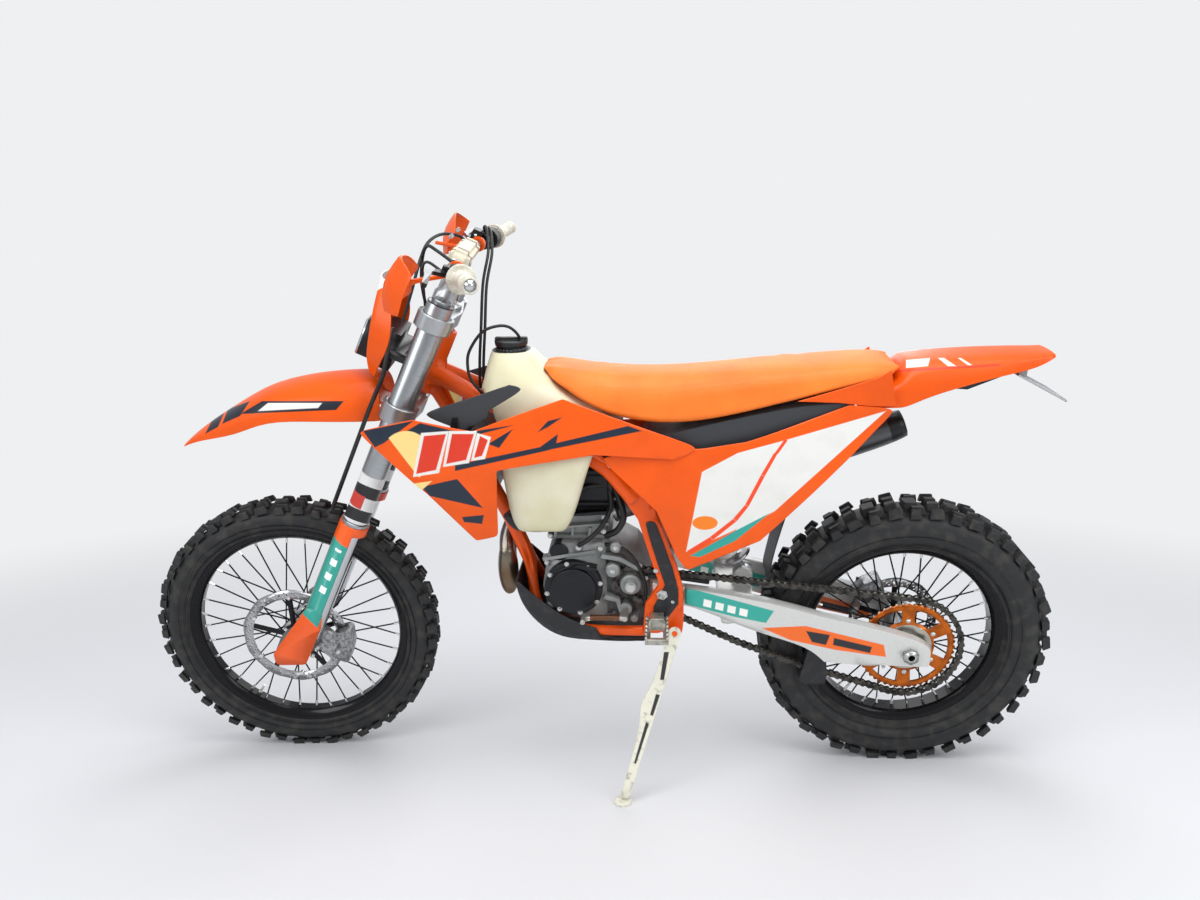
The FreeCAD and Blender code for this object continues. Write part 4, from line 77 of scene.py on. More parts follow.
def seated(turn, spot, joint):
    """A set of directions, turned as the machine stands, with one spot of it on a joint's own place."""
    place = Vector(joints[joint]["pos_m"]) - (turn.to_3x3() @ Vector(spot)) * mm
    return Matrix.Translation(place) @ turn @ Matrix.Scale(mm, 4)


rear_axle = Vector((743.5, 0, 340))
bike = seated(leaned, rear_axle, "rear_wheel_spin")
fork = seated(steered @ Matrix.Rotation(rake, 4, "Y"), (0, 0, 0), "front_wheel_spin")
front_wheel = seated(steered, (0, 0, 0), "front_wheel_spin")
rear_wheel = seated(leaned, (0, 0, 0), "rear_wheel_spin")

# The camera stands to the machine's left, a little above the wheel tops, turned slightly towards the front and
# tipped down. The room is a plain pale floor with soft light from above and from the camera's side.
yaw, down, roll = math.radians(-4.17), math.radians(7.09), math.radians(-0.79)
ahead = Vector((math.sin(yaw) * math.cos(down), math.cos(yaw) * math.cos(down), -math.sin(down)))
side = Vector((math.cos(yaw), -math.sin(yaw), 0))
above = side.cross(ahead)
right = side * math.cos(roll) + above * math.sin(roll)
up = above * math.cos(roll) - side * math.sin(roll)
view = Matrix((right, up, -ahead)).transposed().to_4x4()
camera_spot, floor_drop = Vector((181.9, -2273.2, 1056.4)), Vector((0, 0, -3.481))
eye = bike @ rear_axle + (camera_spot - leaned @ rear_axle + floor_drop) * mm
camera = bpy.data.objects.new("camera", bpy.data.cameras.new("camera"))
camera.matrix_world = Matrix.Translation(eye) @ view
camera.data.sensor_width = 36
camera.data.lens = 27.46
bpy.context.scene.collection.objects.link(camera)
bpy.context.scene.camera = camera

bpy.context.scene.view_settings.view_transform = "Standard"
PALE_GREY = (0.86, 0.87, 0.88, 1)
room = bpy.data.worlds.new("room")
bpy.context.scene.world = room
room.use_nodes = True
room_nodes = room.node_tree.nodes
room_light = room_nodes["Background"]
room_light.inputs["Color"].default_value = (0.93, 0.95, 1.0, 1)
room_light.inputs["Strength"].default_value = 0.62
backdrop = room_nodes.new("ShaderNodeBackground")
backdrop.inputs["Color"].default_value = PALE_GREY
seen = room_nodes.new("ShaderNodeLightPath")
either = room_nodes.new("ShaderNodeMixShader")
for source, socket in (
    (seen.outputs["Is Camera Ray"], either.inputs[0]), (room_light.outputs[0], either.inputs[1]),
    (backdrop.outputs[0], either.inputs[2]), (either.outputs[0], room_nodes["World Output"].inputs[0]),
):
    room.node_tree.links.new(source, socket)
for name, spot, aim, size, power in (
    ("soft_light_above", (0.4, -0.9, 3.4), (0, 0, 0.4), 2.6, 75),
    ("soft_light_left", (-2.6, -2.6, 2.2), (-0.2, 0, 0.5), 1.8, 48),
    ("soft_light_right", (2.7, -1.9, 1.9), (0.3, 0, 0.5), 1.6, 30),
    ("soft_light_behind", (0.3, 2.8, 2.6), (0, 0, 0.6), 2.4, 36),
):
    lamp = bpy.data.objects.new(name, bpy.data.lights.new(name, "AREA"))
    lamp.data.size = size
    lamp.data.energy = power
    lamp.location = spot
    lamp.rotation_euler = (Vector(aim) - Vector(spot)).to_track_quat("-Z", "Y").to_euler()
    bpy.context.scene.collection.objects.link(lamp)


def tint(code):
    """A colour from its usual six-figure code, as the light that it returns."""
    parts = [int(code[i:i + 2], 16) / 255 for i in (0, 2, 4)]
    return tuple(c / 12.92 if c < 0.04045 else ((c + 0.055) / 1.055) ** 2.4 for c in parts) + (1.0,)


class Reading:
    """A value in a finish. Sums written with it become Math nodes: & is the lesser, | the greater of two."""

    def __init__(self, finish, socket):
        self.finish = finish
        self.socket = socket

    def reckoned(self, operation, *values):
        return self.finish.node("Math", {"operation": operation}, *values)

    def __add__(self, other):
        return self.reckoned("ADD", self, other)

    def __sub__(self, other):
        return self.reckoned("SUBTRACT", self, other)

    def __rsub__(self, other):
        return self.reckoned("SUBTRACT", other, self)

    def __mul__(self, other):
        return self.reckoned("MULTIPLY", self, other)

    def __truediv__(self, other):
        return self.reckoned("DIVIDE", self, other)

    def __gt__(self, other):
        return self.reckoned("GREATER_THAN", self, other)

    def __lt__(self, other):
        return self.reckoned("LESS_THAN", self, other)

    def __abs__(self):
        return self.reckoned("ABSOLUTE", self)

    def __pow__(self, other):
        return self.reckoned("POWER", self, other)

    def __and__(self, other):
        return self.reckoned("MINIMUM", self, other)

    def __or__(self, other):
        return self.reckoned("MAXIMUM", self, other)

    def __mod__(self, other):
        return self.reckoned("FLOORED_MODULO", self, other)

    def wave(self):
        return self.reckoned("SINE", self)

    def ramp(self, low, high):
        return self.finish.node("MapRange", {"interpolation_type": "SMOOTHSTEP"}, self, low, high)

    __radd__ = __add__
    __rmul__ = __mul__


class Finish:
    """A material, with one method that adds any shader node to it."""

    def __init__(self, name, color, roughness, metallic=0.0, **fixed):
        self.material = bpy.data.materials.new(name)
        self.material.use_nodes = True
        self.tree = self.material.node_tree
        self.shader = self.tree.nodes["Principled BSDF"]
        self.set(Base_Color=color, Roughness=roughness, Metallic=metallic, **fixed)

    def feed(self, socket, value):
        """Links a reading to a socket, or sets the socket to a plain value or a colour's code."""
        if isinstance(value, Reading):
            self.tree.links.new(value.socket, socket)
        else:
            socket.default_value = tint(value) if isinstance(value, str) else value

    def set(self, **values):
        for name, value in values.items():
            self.feed(self.shader.inputs[name.replace("_", " ")], value)

    def node(self, kind, settings, *values):
        made = self.tree.nodes.new("ShaderNode" + kind)
        for name, value in settings.items():
            setattr(made, name, value)
        for socket, value in zip([s for s in made.inputs if s.enabled], values):
            if value is not None:
                self.feed(socket, value)
        return Reading(self, [s for s in made.outputs if s.enabled][0])

    def given(self, kind, output):
        """One named output of a node that has no inputs."""
        return Reading(self, self.node(kind, {}).socket.node.outputs[output])

    def surface(self):
        return self.given("TexCoord", "Object")

    def spot(self, place, stretch=(1, 1, 1)):
        """Where a point of the piece lies in the machine's own directions, in millimetres."""
        back = place.inverted()
        turn = back.to_quaternion().to_euler()
        spot = self.node("Mapping", {"vector_type": "POINT"}, self.surface(), back.translation, turn, back.to_scale())
        return self.node("VectorMath", {"operation": "MULTIPLY"}, spot, stretch) if stretch != (1, 1, 1) else spot

    def view_spot(self, place):
        """Where a point of the left side, or its mirror image on the right, is seen in the view: across, and down."""
        focal_length, middle_across, middle_down = 915.4, 600, 450
        x, y, z = self.read(place)
        left = self.node("CombineXYZ", {}, x, abs(y) * -1, z)
        back = place.inverted()
        from_eye = self.node("VectorMath", {"operation": "SUBTRACT"}, left, back @ eye)
        turn = back.to_quaternion()
        depth = self.along(from_eye, turn @ ahead)
        across = self.along(from_eye, turn @ right) / depth * focal_length + middle_across
        below = middle_down - self.along(from_eye, turn @ up) / depth * focal_length
        return self.node("CombineXYZ", {}, across, 0.0, below)

    def parts(self, spot):
        split = self.node("SeparateXYZ", {}, spot).socket.node
        return [Reading(self, output) for output in split.outputs]

    def read(self, place):
        """The three distances of a point in the machine's own directions, in millimetres."""
        return self.parts(self.spot(place))

    def noise(self, scale, detail, spot=None):
        spot = self.surface() if spot is None else spot
        return self.node("TexNoise", {}, spot, scale, detail)

    def along(self, spot, direction):
        return self.node("VectorMath", {"operation": "DOT_PRODUCT"}, spot, tuple(direction))

    def mixed(self, share, low, high):
        return self.node("Mix", {"data_type": "RGBA"}, share, low, high)

    def patch(self, spot, corners):
        """1 inside a convex outline of x and z, 0 outside it, with a soft edge as wide as one unit."""
        ends = list(zip(corners, corners[1:] + corners[:1]))
        hand = 1 if sum(a[0] * b[1] - b[0] * a[1] for a, b in ends) > 0 else -1
        inside = None
        for a, b in ends:
            across = Vector((a[1] - b[1], 0, b[0] - a[0])).normalized() * hand
            depth = self.along(spot, across) - across.dot(Vector((a[0], 0, a[1])))
            inside = depth if inside is None else inside & depth
        return inside.ramp(-0.5, 0.5)

    def patches(self, spot, outlines):
        """1 inside any of several convex outlines."""
        found = None
        for corners in outlines:
            one = self.patch(spot, corners)
            found = one if found is None else found | one
        return found

    def filmed(self, color, spot, *films):
        """Thin films laid over a colour one after another, each given by its colour and its outlines."""
        for film, outlines in films:
            color = self.mixed(self.patches(spot, outlines), color, film)
        return color

    def bump(self, height, distance, strength):
        """Relief too fine to model, as high as the distance in metres."""
        made = self.tree.nodes.new("ShaderNodeBump")
        self.feed(made.inputs["Strength"], strength)
        self.feed(made.inputs["Distance"], distance)
        self.feed(made.inputs["Height"], height)
        self.set(Normal=Reading(self, made.outputs["Normal"]))

    def grained(self, scale, detail, distance, strength):
        """A fine grain that catches the light."""
        self.bump(self.noise(scale, detail), distance, strength)
        return self

    def worn(self, scale, low, high):
        """Roughness that wanders between two values, as handling and dust leave it."""
        self.set(Roughness=self.noise(scale, 4.0) * (high - low) + low)
        return self


floor_finish = Finish("pale floor", "d5d6d8", 0.7).grained(60.0, 3.0, 0.0006, 0.3)
far_off = floor_finish.node("VectorMath", {"operation": "LENGTH"}, floor_finish.surface()).ramp(1.6, 4.2)
glow = floor_finish.node("Emission", {}, PALE_GREY, 1.0)
lit_floor = Reading(floor_finish, floor_finish.shader.outputs[0])
faded = floor_finish.node("MixShader", {}, far_off * floor_finish.given("LightPath", "Is Camera Ray"), lit_floor, glow)
floor_finish.tree.links.new(faded.socket, floor_finish.tree.nodes["Material Output"].inputs["Surface"])
floor_mesh = bpy.data.meshes.new("floor")
floor_mesh.from_pydata([(-60, -60, 0), (60, -60, 0), (60, 60, 0), (-60, 60, 0)], [], [(0, 1, 2, 3)])
floor_mesh.materials.append(floor_finish.material)
floor = bpy.data.objects.new("floor", floor_mesh)
bpy.context.scene.collection.objects.link(floor)
floor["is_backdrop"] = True

# Tyres: dark rubber, 21 inch in front and 18 inch behind, moulded with a rounded carcass and rows of hard blocks: a
# pair or one wide block in the middle by turns, slanted ones beside them and square ones that hang over each shoulder.


def lathed(profile, segments, closed=True):
    """A mesh turned about Y from radius and y pairs."""
    form = bmesh.new()
    rings = []
    for i in range(segments):
        turn = 2 * math.pi * i / segments
        rings.append([form.verts.new((r * math.sin(turn), y, r * math.cos(turn))) for r, y in profile])
    count = len(profile)
    for low, high in zip(rings, rings[1:] + rings[:1]):
        for j in range(count if closed else count - 1):
            k = (j + 1) % count
            form.faces.new((low[j], low[k], high[k], high[j]))
    bmesh.ops.recalc_face_normals(form, faces=form.faces)
    return form


def rounded(points, steps):
    """A closed row of pairs with its corners cut round, a quarter off each end of every side, again and again."""
    for _ in range(steps):
        points = [
            (a[0] * (1 - s) + b[0] * s, a[1] * (1 - s) + b[1] * s)
            for a, b in zip(points, points[1:] + points[:1])
            for s in (0.25, 0.75)
        ]
    return points


def block(corner, size, taper):
    """A moulded block by its lowest corner and its size, its top drawn in by the taper and its edges broken."""
    form = bmesh.new()
    bmesh.ops.create_cube(form, size=1)
    for vert in form.verts:
        share = [c + 0.5 for c in vert.co]
        draw = taper * share[2]
        for i in range(3):
            room = 0 if i == 2 else draw * (0.5 - share[i]) * 2
            vert.co[i] = corner[i] + size[i] * share[i] + room
    edges = [e for e in form.edges if sum(v.co.z > corner[2] + size[2] / 2 for v in e.verts)]
    bmesh.ops.bevel(form, geom=edges, offset=1.2, segments=1, affect="EDGES")
    return form


def joined(forms):
    """Forms made one form, in their order."""
    whole = bmesh.new()
    for form in forms:
        mesh = bpy.data.meshes.new("part")
        form.to_mesh(mesh)
        whole.from_mesh(mesh)
        bpy.data.meshes.remove(mesh)
        form.free()
    return whole


def placed(form, place):
    bmesh.ops.transform(form, matrix=place, verts=form.verts)
    return form


def piece(name, form, body, finish, sharp=35, replaces=()):
    """Hands a finished form over as one piece of the machine. A piece without a body is attached to none."""
    mesh = bpy.data.meshes.new(name)
    form.to_mesh(mesh)
    form.free()
    mesh.materials.append(finish.material)
    mesh.shade_smooth()
    mesh.set_sharp_from_angle(angle=math.radians(sharp))
    made = bpy.data.objects.new(name, mesh)
    bpy.context.scene.collection.objects.link(made)
    if body:
        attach(made, body)
    if replaces:
        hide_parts(*replaces)
    return made


def new_tree(name, **inputs):
    """An empty Geometry Nodes tree with its inputs, and a function that adds nodes to it."""
    tree = bpy.data.node_groups.new(name, "GeometryNodeTree")
    for label, kind in inputs.items():
        tree.interface.new_socket(label, in_out="INPUT", socket_type="NodeSocket" + kind)
    tree.interface.new_socket("Made", in_out="OUTPUT", socket_type="NodeSocketGeometry")

    def add(kind, settings, feeds):
        """A node's outputs, its settings made and its sockets fed by name or number."""
        made = tree.nodes.new(kind)
        for label, value in settings.items():
            setattr(made, label, value)
        for label, value in feeds.items():
            if isinstance(value, bpy.types.NodeSocket):
                tree.links.new(value, made.inputs[label])
            else:
                made.inputs[label].default_value = value
        return made.outputs

    return tree, add, add("NodeGroupInput", {}, {})


def finished(add, copies, finish):
    """Ends a tree: its copies are made real and given their finish."""
    real = add("GeometryNodeRealizeInstances", {}, {0: copies})[0]
    paint = add("GeometryNodeSetMaterial", {}, {"Geometry": real, "Material": finish})[0]
    add("NodeGroupOutput", {}, {0: paint})


def ring_tree():
    """Geometry Nodes: copies of a shape set round the axle, a whole number to the turn."""
    tree, add, given = new_tree("ring of copies", Shape="Geometry", Copies="Int", First_Turn="Float", Finish="Material")
    index = add("GeometryNodeInputIndex", {}, {})[0]
    share = add("ShaderNodeMath", {"operation": "DIVIDE"}, {0: index, 1: given["Copies"]})[0]
    turn = add("ShaderNodeMath", {"operation": "MULTIPLY_ADD"}, {0: share, 1: 2 * math.pi, 2: given["First_Turn"]})[0]
    spin = add("ShaderNodeCombineXYZ", {}, {"Y": turn})[0]
    spots = add("GeometryNodePoints", {}, {"Count": given["Copies"]})[0]
    copies = add("GeometryNodeInstanceOnPoints", {}, {"Points": spots, "Instance": given["Shape"], "Rotation": spin})[0]
    finished(add, copies, given["Finish"])
    return tree


def grown(tree, form, **given):
    """Runs a Geometry Nodes tree on a form and gives back the plain mesh that it makes."""
    mesh = bpy.data.meshes.new("seed")
    form.to_mesh(mesh)
    form.free()
    seed = bpy.data.objects.new("seed", mesh)
    bpy.context.scene.collection.objects.link(seed)
    work = seed.modifiers.new("work", "NODES")
    work.node_group = tree
    for item in tree.interface.items_tree:
        if item.name in given:
            work[item.identifier] = given[item.name]
    made = bpy.data.meshes.new_from_object(seed.evaluated_get(bpy.context.evaluated_depsgraph_get()))
    seed.modifiers.remove(work)
    bpy.data.objects.remove(seed)
    result = bmesh.new()
    result.from_mesh(made)
    bpy.data.meshes.remove(made)
    return result


ring_of_copies = ring_tree()


def around_axle(form, count, turn, finish):
    """A form copied round the axle, the first copy at a turn."""
    return grown(ring_of_copies, form, Copies=count, First_Turn=turn, Finish=finish)


def knobs(radius, half, count, depth):
    """The blocks of one row, which is then repeated round the tyre."""
    def set_of(y_from, y_to, length, slide, slant, drop):
        """One block, slanted along the tread, its outer end following the tyre's shoulder down."""
        form = block((slide - length / 2, y_from, radius - depth - drop), (length, y_to - y_from, depth), 3.0)
        for vert in form.verts:
            vert.co.x += slant * (vert.co.y - (y_from + y_to) / 2)
            if abs(vert.co.y) > half * 0.8:
                vert.co.z -= (abs(vert.co.y) - half * 0.8) * 0.28
        return form

    pitch = 2 * math.pi * radius / count
    forms = [
        set_of(-half * 0.34, half * 0.34, pitch * 0.36, 0, 0, 0),
        set_of(-half * 0.42, -half * 0.06, pitch * 0.3, pitch * 0.5, 0.12, 0),
        set_of(half * 0.06, half * 0.42, pitch * 0.3, pitch * 0.5, -0.12, 0),
        set_of(-half * 0.74, -half * 0.44, pitch * 0.34, pitch * 0.1, -0.3, 1.5),
        set_of(half * 0.44, half * 0.74, pitch * 0.34, pitch * 0.1, 0.3, 1.5),
    ]
    for slide, length in ((0.52, 0.34), (0.04, 0.27)):
        forms.append(set_of(half * 0.72, half, pitch * length, pitch * slide, 0, 3.5))
        forms.append(set_of(-half, -half * 0.72, pitch * length, pitch * slide, 0, 3.5))
    return joined(forms)


tyre_finish = Finish("tyre rubber", "1d1e20", 0.62)
tyre_dust = tyre_finish.noise(35.0, 6.0)
tyre_finish.set(Base_Color=tyre_finish.mixed(tyre_dust.ramp(0.42, 0.72), "17181a", "34332f"))
tyre_finish.set(Roughness=tyre_dust * 0.3 + 0.45)
tyre_finish.grained(420.0, 2.0, 0.0004, 0.35)
wheels = (
    ("front", front_wheel, 346, 43, 40, 262, 21, 24, 15.5),
    ("rear", rear_wheel, 340, 62, 58, 227, 27, 22, 17.5),
)
for end, place, radius, side_half, tread_half, bead, bead_half, rows, depth in wheels:
    crown = radius - depth + 2
    wall = [
        (bead + 1.5, bead_half - 3), (bead + 1.5, bead_half), (bead + 9, bead_half + 6), (bead + 24, side_half - 7),
        (bead + (crown - bead) * 0.62, side_half), (crown - 13, tread_half - 2), (crown - 4, tread_half * 0.72),
        (crown, tread_half * 0.3),
    ]
    carcass = lathed(rounded(wall + [(r, -y) for r, y in wall[::-1]], 2), 144)
    ribs = []
    for r, width in ((bead + 13, 1.1), (bead + 17, 0.8), (bead + (crown - bead) * 0.45, 1.0)):
        for hand in (-1, 1):
            y = hand * (side_half - (7 if r < bead + 20 else 1.2))
            ribs.append(lathed([(r, y - 1.0), (r, y + 1.0), (r + width * 2, y + 1.0), (r + width * 2, y - 1.0)], 96))
    tread = around_axle(knobs(radius, tread_half, rows, depth), rows, 0.0, tyre_finish.material)
    piece(end + "_tyre_rubber", placed(joined([carcass, tread] + ribs), place), end + "_wheel", tyre_finish,
          32, [end + "_tyre"])

# Rims and spokes: black anodised alloy rims, thirty-six black steel spokes laced to each hub's two flanges, with
# bright nipples where they enter the rim and a valve with its nut between two of them.


def bar(points, radius, sides):
    """A round bar along points, its ends closed. The radius is one value or one for each point."""
    form = bmesh.new()
    spots = [Vector(p) for p in points]
    radii = radius if isinstance(radius, (list, tuple)) else [radius] * len(spots)
    runs = [(b - a).normalized() for a, b in zip(spots, spots[1:])]
    lean = runs[0].orthogonal().normalized()
    rings = []
    for i, (spot, size) in enumerate(zip(spots, radii)):
        run = (runs[max(i - 1, 0)] + runs[min(i, len(runs) - 1)]).normalized()
        lean = (lean - run * lean.dot(run)).normalized()
        cross = run.cross(lean)
        rings.append([
            form.verts.new(spot + (lean * math.cos(t) + cross * math.sin(t)) * size)
            for t in (2 * math.pi * j / sides for j in range(sides))
        ])
    for low, high in zip(rings, rings[1:]):
        for j in range(sides):
            k = (j + 1) % sides
            form.faces.new((low[j], low[k], high[k], high[j]))
    form.faces.new(rings[0][::-1])
    form.faces.new(rings[-1])
    bmesh.ops.recalc_face_normals(form, faces=form.faces)
    return form


rim_finish = Finish("black anodised rim", "141416", 0.28, 0.85, Coat_Weight=0.25).worn(90.0, 0.2, 0.38)
spoke_finish = Finish("black steel spokes", "1b1b1d", 0.35, 0.8).worn(200.0, 0.25, 0.45)
nipple_finish = Finish("bright nipples", "d8d8d6", 0.22, 0.95).worn(160.0, 0.15, 0.3)
hub_finish = Finish("machined hub", "b9babb", 0.35, 0.9)
hub_marks = hub_finish.noise(70.0, 5.0)
hub_finish.set(Roughness=hub_marks * 0.25 + 0.24)
hub_finish.grained(900.0, 1.0, 0.0001, 0.2)
SPOKES, SPOKE_CIRCLE, LACING = 36, 29, math.radians(70)
for end, place, lip, lip_half, bead, bead_half, well, well_half, flange_y, flange_r, barrel, half, end_r in (
    ("front", front_wheel, 272, 27.5, 261.5, 20, 249, 14, 37, 36, 23, 62, 26),
    ("rear", rear_wheel, 237, 33.5, 226.5, 27, 213, 22, 39.5, 40, 28, 86, 30.2),
):
    rim_side = [
        (bead, bead_half - 1), (lip - 3, lip_half - 1.5), (lip, lip_half - 0.5), (lip - 1, lip_half + 0.3),
        (lip - 5, lip_half - 0.6), (well + 9, well_half + 7), (well + 3, well_half + 2), (well, well_half - 3),
    ]
    rim = lathed(rim_side + [(r, -y) for r, y in rim_side[::-1]], 144)
    piece(end + "_rim_hoop", placed(rim, place), end + "_wheel", rim_finish, 30, [end + "_rim"])
    spokes, nipples = [], []
    index = 0
    for hand in (-1, 1):
        for lean_to in (-1, 1):
            foot = Vector((lean_to * SPOKE_CIRCLE * math.sin(LACING), hand * flange_y + lean_to * 2.7,
                           SPOKE_CIRCLE * math.cos(LACING)))
            top = Vector((0, hand * 5, well + 1))
            run = (top - foot).normalized()
            turn = 2 * math.pi * index / SPOKES
            spokes.append(around_axle(bar([foot, top], 1.9, 6), SPOKES // 4, turn, spoke_finish.material))
            low = top - run * 15
            nipple = bar([low, low + run * 2, top - run * 4, top], [2.6, 3.3, 3.3, 4.2], 6)
            for form in (nipple, bar([foot - run * 4, foot + run], 3.0, 6)):
                nipples.append(around_axle(form, SPOKES // 4, turn, nipple_finish.material))
            index += 1
    valve = bar([(0, 0, well - 30), (0, 0, well - 24), (0, 0, well - 8), (0, 0, well - 7), (0, 0, well)],
                [2.5, 3.0, 3.0, 5.5, 5.5], 8)
    nipples.append(placed(valve, Matrix.Rotation(math.radians(215), 4, "Y")))
    piece(end + "_spokes", placed(joined(spokes), place), end + "_wheel", spoke_finish)
    piece(end + "_nipples", placed(joined(nipples), place), end + "_wheel", nipple_finish)
    hub_side = [
        (13.2, half), (end_r - 2, half), (end_r, half - 2), (end_r, flange_y + 8), (flange_r - 3, flange_y + 4),
        (flange_r, flange_y + 2.5), (flange_r, flange_y - 2.5), (flange_r - 4, flange_y - 4),
        (barrel + 3, flange_y - 8), (barrel, flange_y - 16),
    ]
    hub = lathed(hub_side + [(r, -y) for r, y in hub_side[::-1]], 48)
    piece(end + "_hub_shell", placed(hub, place), end + "_wheel", hub_finish, 30, [end + "_hub"])

# Brake discs: ground stainless rings with a wavy edge, drilled through with slanting rows of holes, on black carriers
# that bolt to the hubs. The caliper's pads leave fine circles on the band.


def solids_of(node, place):
    """The solids of a CAD node in the machine's own directions, their loose triangles merged."""
    form = bmesh.new()
    form.from_mesh(frame["nodes"][node].data)
    bmesh.ops.transform(form, matrix=place.inverted(), verts=form.verts)
    bmesh.ops.remove_doubles(form, verts=form.verts, dist=0.02)
    return form


def eased(form, width, angle=30, segments=2):
    """Flats made whole again, and their edges broken as a casting's or a moulding's are."""
    bmesh.ops.dissolve_limit(form, angle_limit=math.radians(1.5), verts=form.verts, edges=form.edges)
    edges = [e for e in form.edges if len(e.link_faces) == 2 and e.calc_face_angle(0) > math.radians(angle)]
    if width:
        bmesh.ops.bevel(form, geom=edges, offset=width, segments=segments, affect="EDGES", clamp_overlap=True)
    bmesh.ops.triangulate(form, faces=[f for f in form.faces if len(f.verts) > 4])
    return form


def recast(name, node, place, body, finish, width, angle=30, sharp=35):
    """The node's own form as a casting or a forging, its edges broken by a width."""
    form = eased(solids_of(node, place), width, angle)
    return piece(name, placed(form, place), body, finish, sharp, [node])


HOLES_AROUND = 36
for end, place, y, outer, band in (("front", front_wheel, -54, 130, 24), ("rear", rear_wheel, 62, 110, 22)):
    disc_finish = Finish(end + " disc steel", "b4b5b6", 0.3, 0.95)
    x, across, z = disc_finish.read(place)
    reach = (x * x + z * z) ** 0.5
    turn = disc_finish.node("Math", {"operation": "ARCTAN2"}, z, x)
    holes = None
    for row, twist in ((outer - 7.5, 0.0), (outer - 13.5, 0.055), (outer - 19.5, 0.11)):
        cell = ((turn + twist) * (HOLES_AROUND / (2 * math.pi)) % 1.0) - 0.5
        off = ((cell * (2 * math.pi * row / HOLES_AROUND)) ** 2 + (reach - row) ** 2) ** 0.5
        hole = off < 2.3
        holes = hole if holes is None else holes | hole
    circles = disc_finish.noise(1.0, 2.0, disc_finish.node("CombineXYZ", {}, reach * 2.2, 0.0, 0.0))
    carrier = reach < outer - band - 1.5
    steel = disc_finish.mixed(circles, "8f9091", "c6c7c8")
    disc_finish.set(Base_Color=disc_finish.mixed(carrier, steel, "2a2a2b"), Alpha=1 - holes * (1 - carrier),
                    Roughness=circles * 0.2 + 0.2)
    disc_finish.bump(circles, 0.0002, 0.3)
    recast(end + "_brake_disc", end + "_disc", place, end + "_wheel", disc_finish, 0.4, angle=50)
    rivet = bar([(0, y + off, outer - band + 2) for off in (-5.5, -4.5, 4.5, 5.5)], [3.0, 5.0, 5.0, 3.0], 12)
    rivets = around_axle(rivet, 6, 0.0, nipple_finish.material)
    bolts = around_axle(bar([(0, y - 6.5, 29), (0, y - 2.0, 29)], 4.5, 6), 6, 0.3, nipple_finish.material)
    piece(end + "_disc_rivets", placed(joined([rivets, bolts]), place), end + "_wheel", nipple_finish)

# Fork: hard-chromed legs in cast lugs below, and satin silver outer tubes above, each with a dark wiper ring, a red
# and white decal band above the guard and a capped top with its adjuster.
chrome_finish = Finish("chromed fork leg", "c9cacc", 0.12, 1.0).worn(60.0, 0.08, 0.2)
lug_finish = Finish("cast lug", "77797b", 0.45, 0.8).worn(80.0, 0.38, 0.6).grained(500.0, 3.0, 0.0003, 0.35)
tube_finish = Finish("satin fork tube", "a3a7aa", 0.3, 0.9)
x, y, s = tube_finish.read(fork)
brushed = tube_finish.noise(1.0, 4.0, tube_finish.node("CombineXYZ", {}, x * 0.03, y * 0.03, s * 0.9))
silver = tube_finish.mixed(brushed, "8d9194", "b9bdc0")
slant = s + y * 0.35
label = (s > 396) & (s < 520)
black = ((slant + 14) % 62) < 30
red = ((s > 436) & (s < 470)) & (x < 40)
sticker = tube_finish.mixed(black, "dfe0df", "1b1b1e")
sticker = tube_finish.mixed(red, sticker, "c6392b")
tube_finish.set(Base_Color=tube_finish.mixed(label, silver, sticker), Metallic=(1 - label) * 0.9,
                Roughness=brushed * 0.18 + 0.22)
tube_finish.bump(brushed, 0.0001, 0.25)
seal_finish = Finish("fork seal rubber", "151517", 0.55).worn(120.0, 0.45, 0.7)
recast("fork_lug_castings", "fork_legs", fork, "steering", lug_finish, 1.2)
LEG_X, LEG_Y = 37, 105
tubes = []
for hand in (-1, 1):
    leg_place = fork @ Matrix.Translation((LEG_X, LEG_Y * hand, 0)) @ Matrix.Rotation(math.radians(90), 4, "X")
    form = placed(lathed([(0.01, 60), (24.3, 60), (24.3, 377), (0.01, 377)], 48, closed=False), leg_place)
    bmesh.ops.recalc_face_normals(form, faces=form.faces)
    end = "left" if hand < 0 else "right"
    piece(end + "_fork_slider", form, "steering", chrome_finish)
    rings = []
    for low, high, r in ((371, 377, 29.8), (394, 396, 29.4), (662, 664, 29.6), (942, 944.5, 29.4)):
        rings.append(lathed([(28.6, low), (r, low), (r + 0.4, (low + high) / 2), (r, high), (28.6, high)], 48))
    form = placed(joined(rings), leg_place)
    bmesh.ops.recalc_face_normals(form, faces=form.faces)
    piece(end + "_fork_rings", form, "steering", seal_finish)
    side = [(0.01, 376), (30.6, 376), (31.5, 377), (31.5, 393), (30.6, 394), (29, 394.5), (29, 943), (28.3, 944),
            (0.01, 944)]
    tubes.append(placed(lathed(side, 64, closed=False), leg_place))
form = joined(tubes)
bmesh.ops.recalc_face_normals(form, faces=form.faces)
piece("fork_outer_tubes", form, "steering", tube_finish, 35, ["fork_tubes"])

# Moulded parts: one skin each of injection-moulded polypropylene, coloured through, with rounded edges, a soft sheen
# and fine scratches where boots and branches rub. Decals are thin glossy film, so they lie flush with the skin.


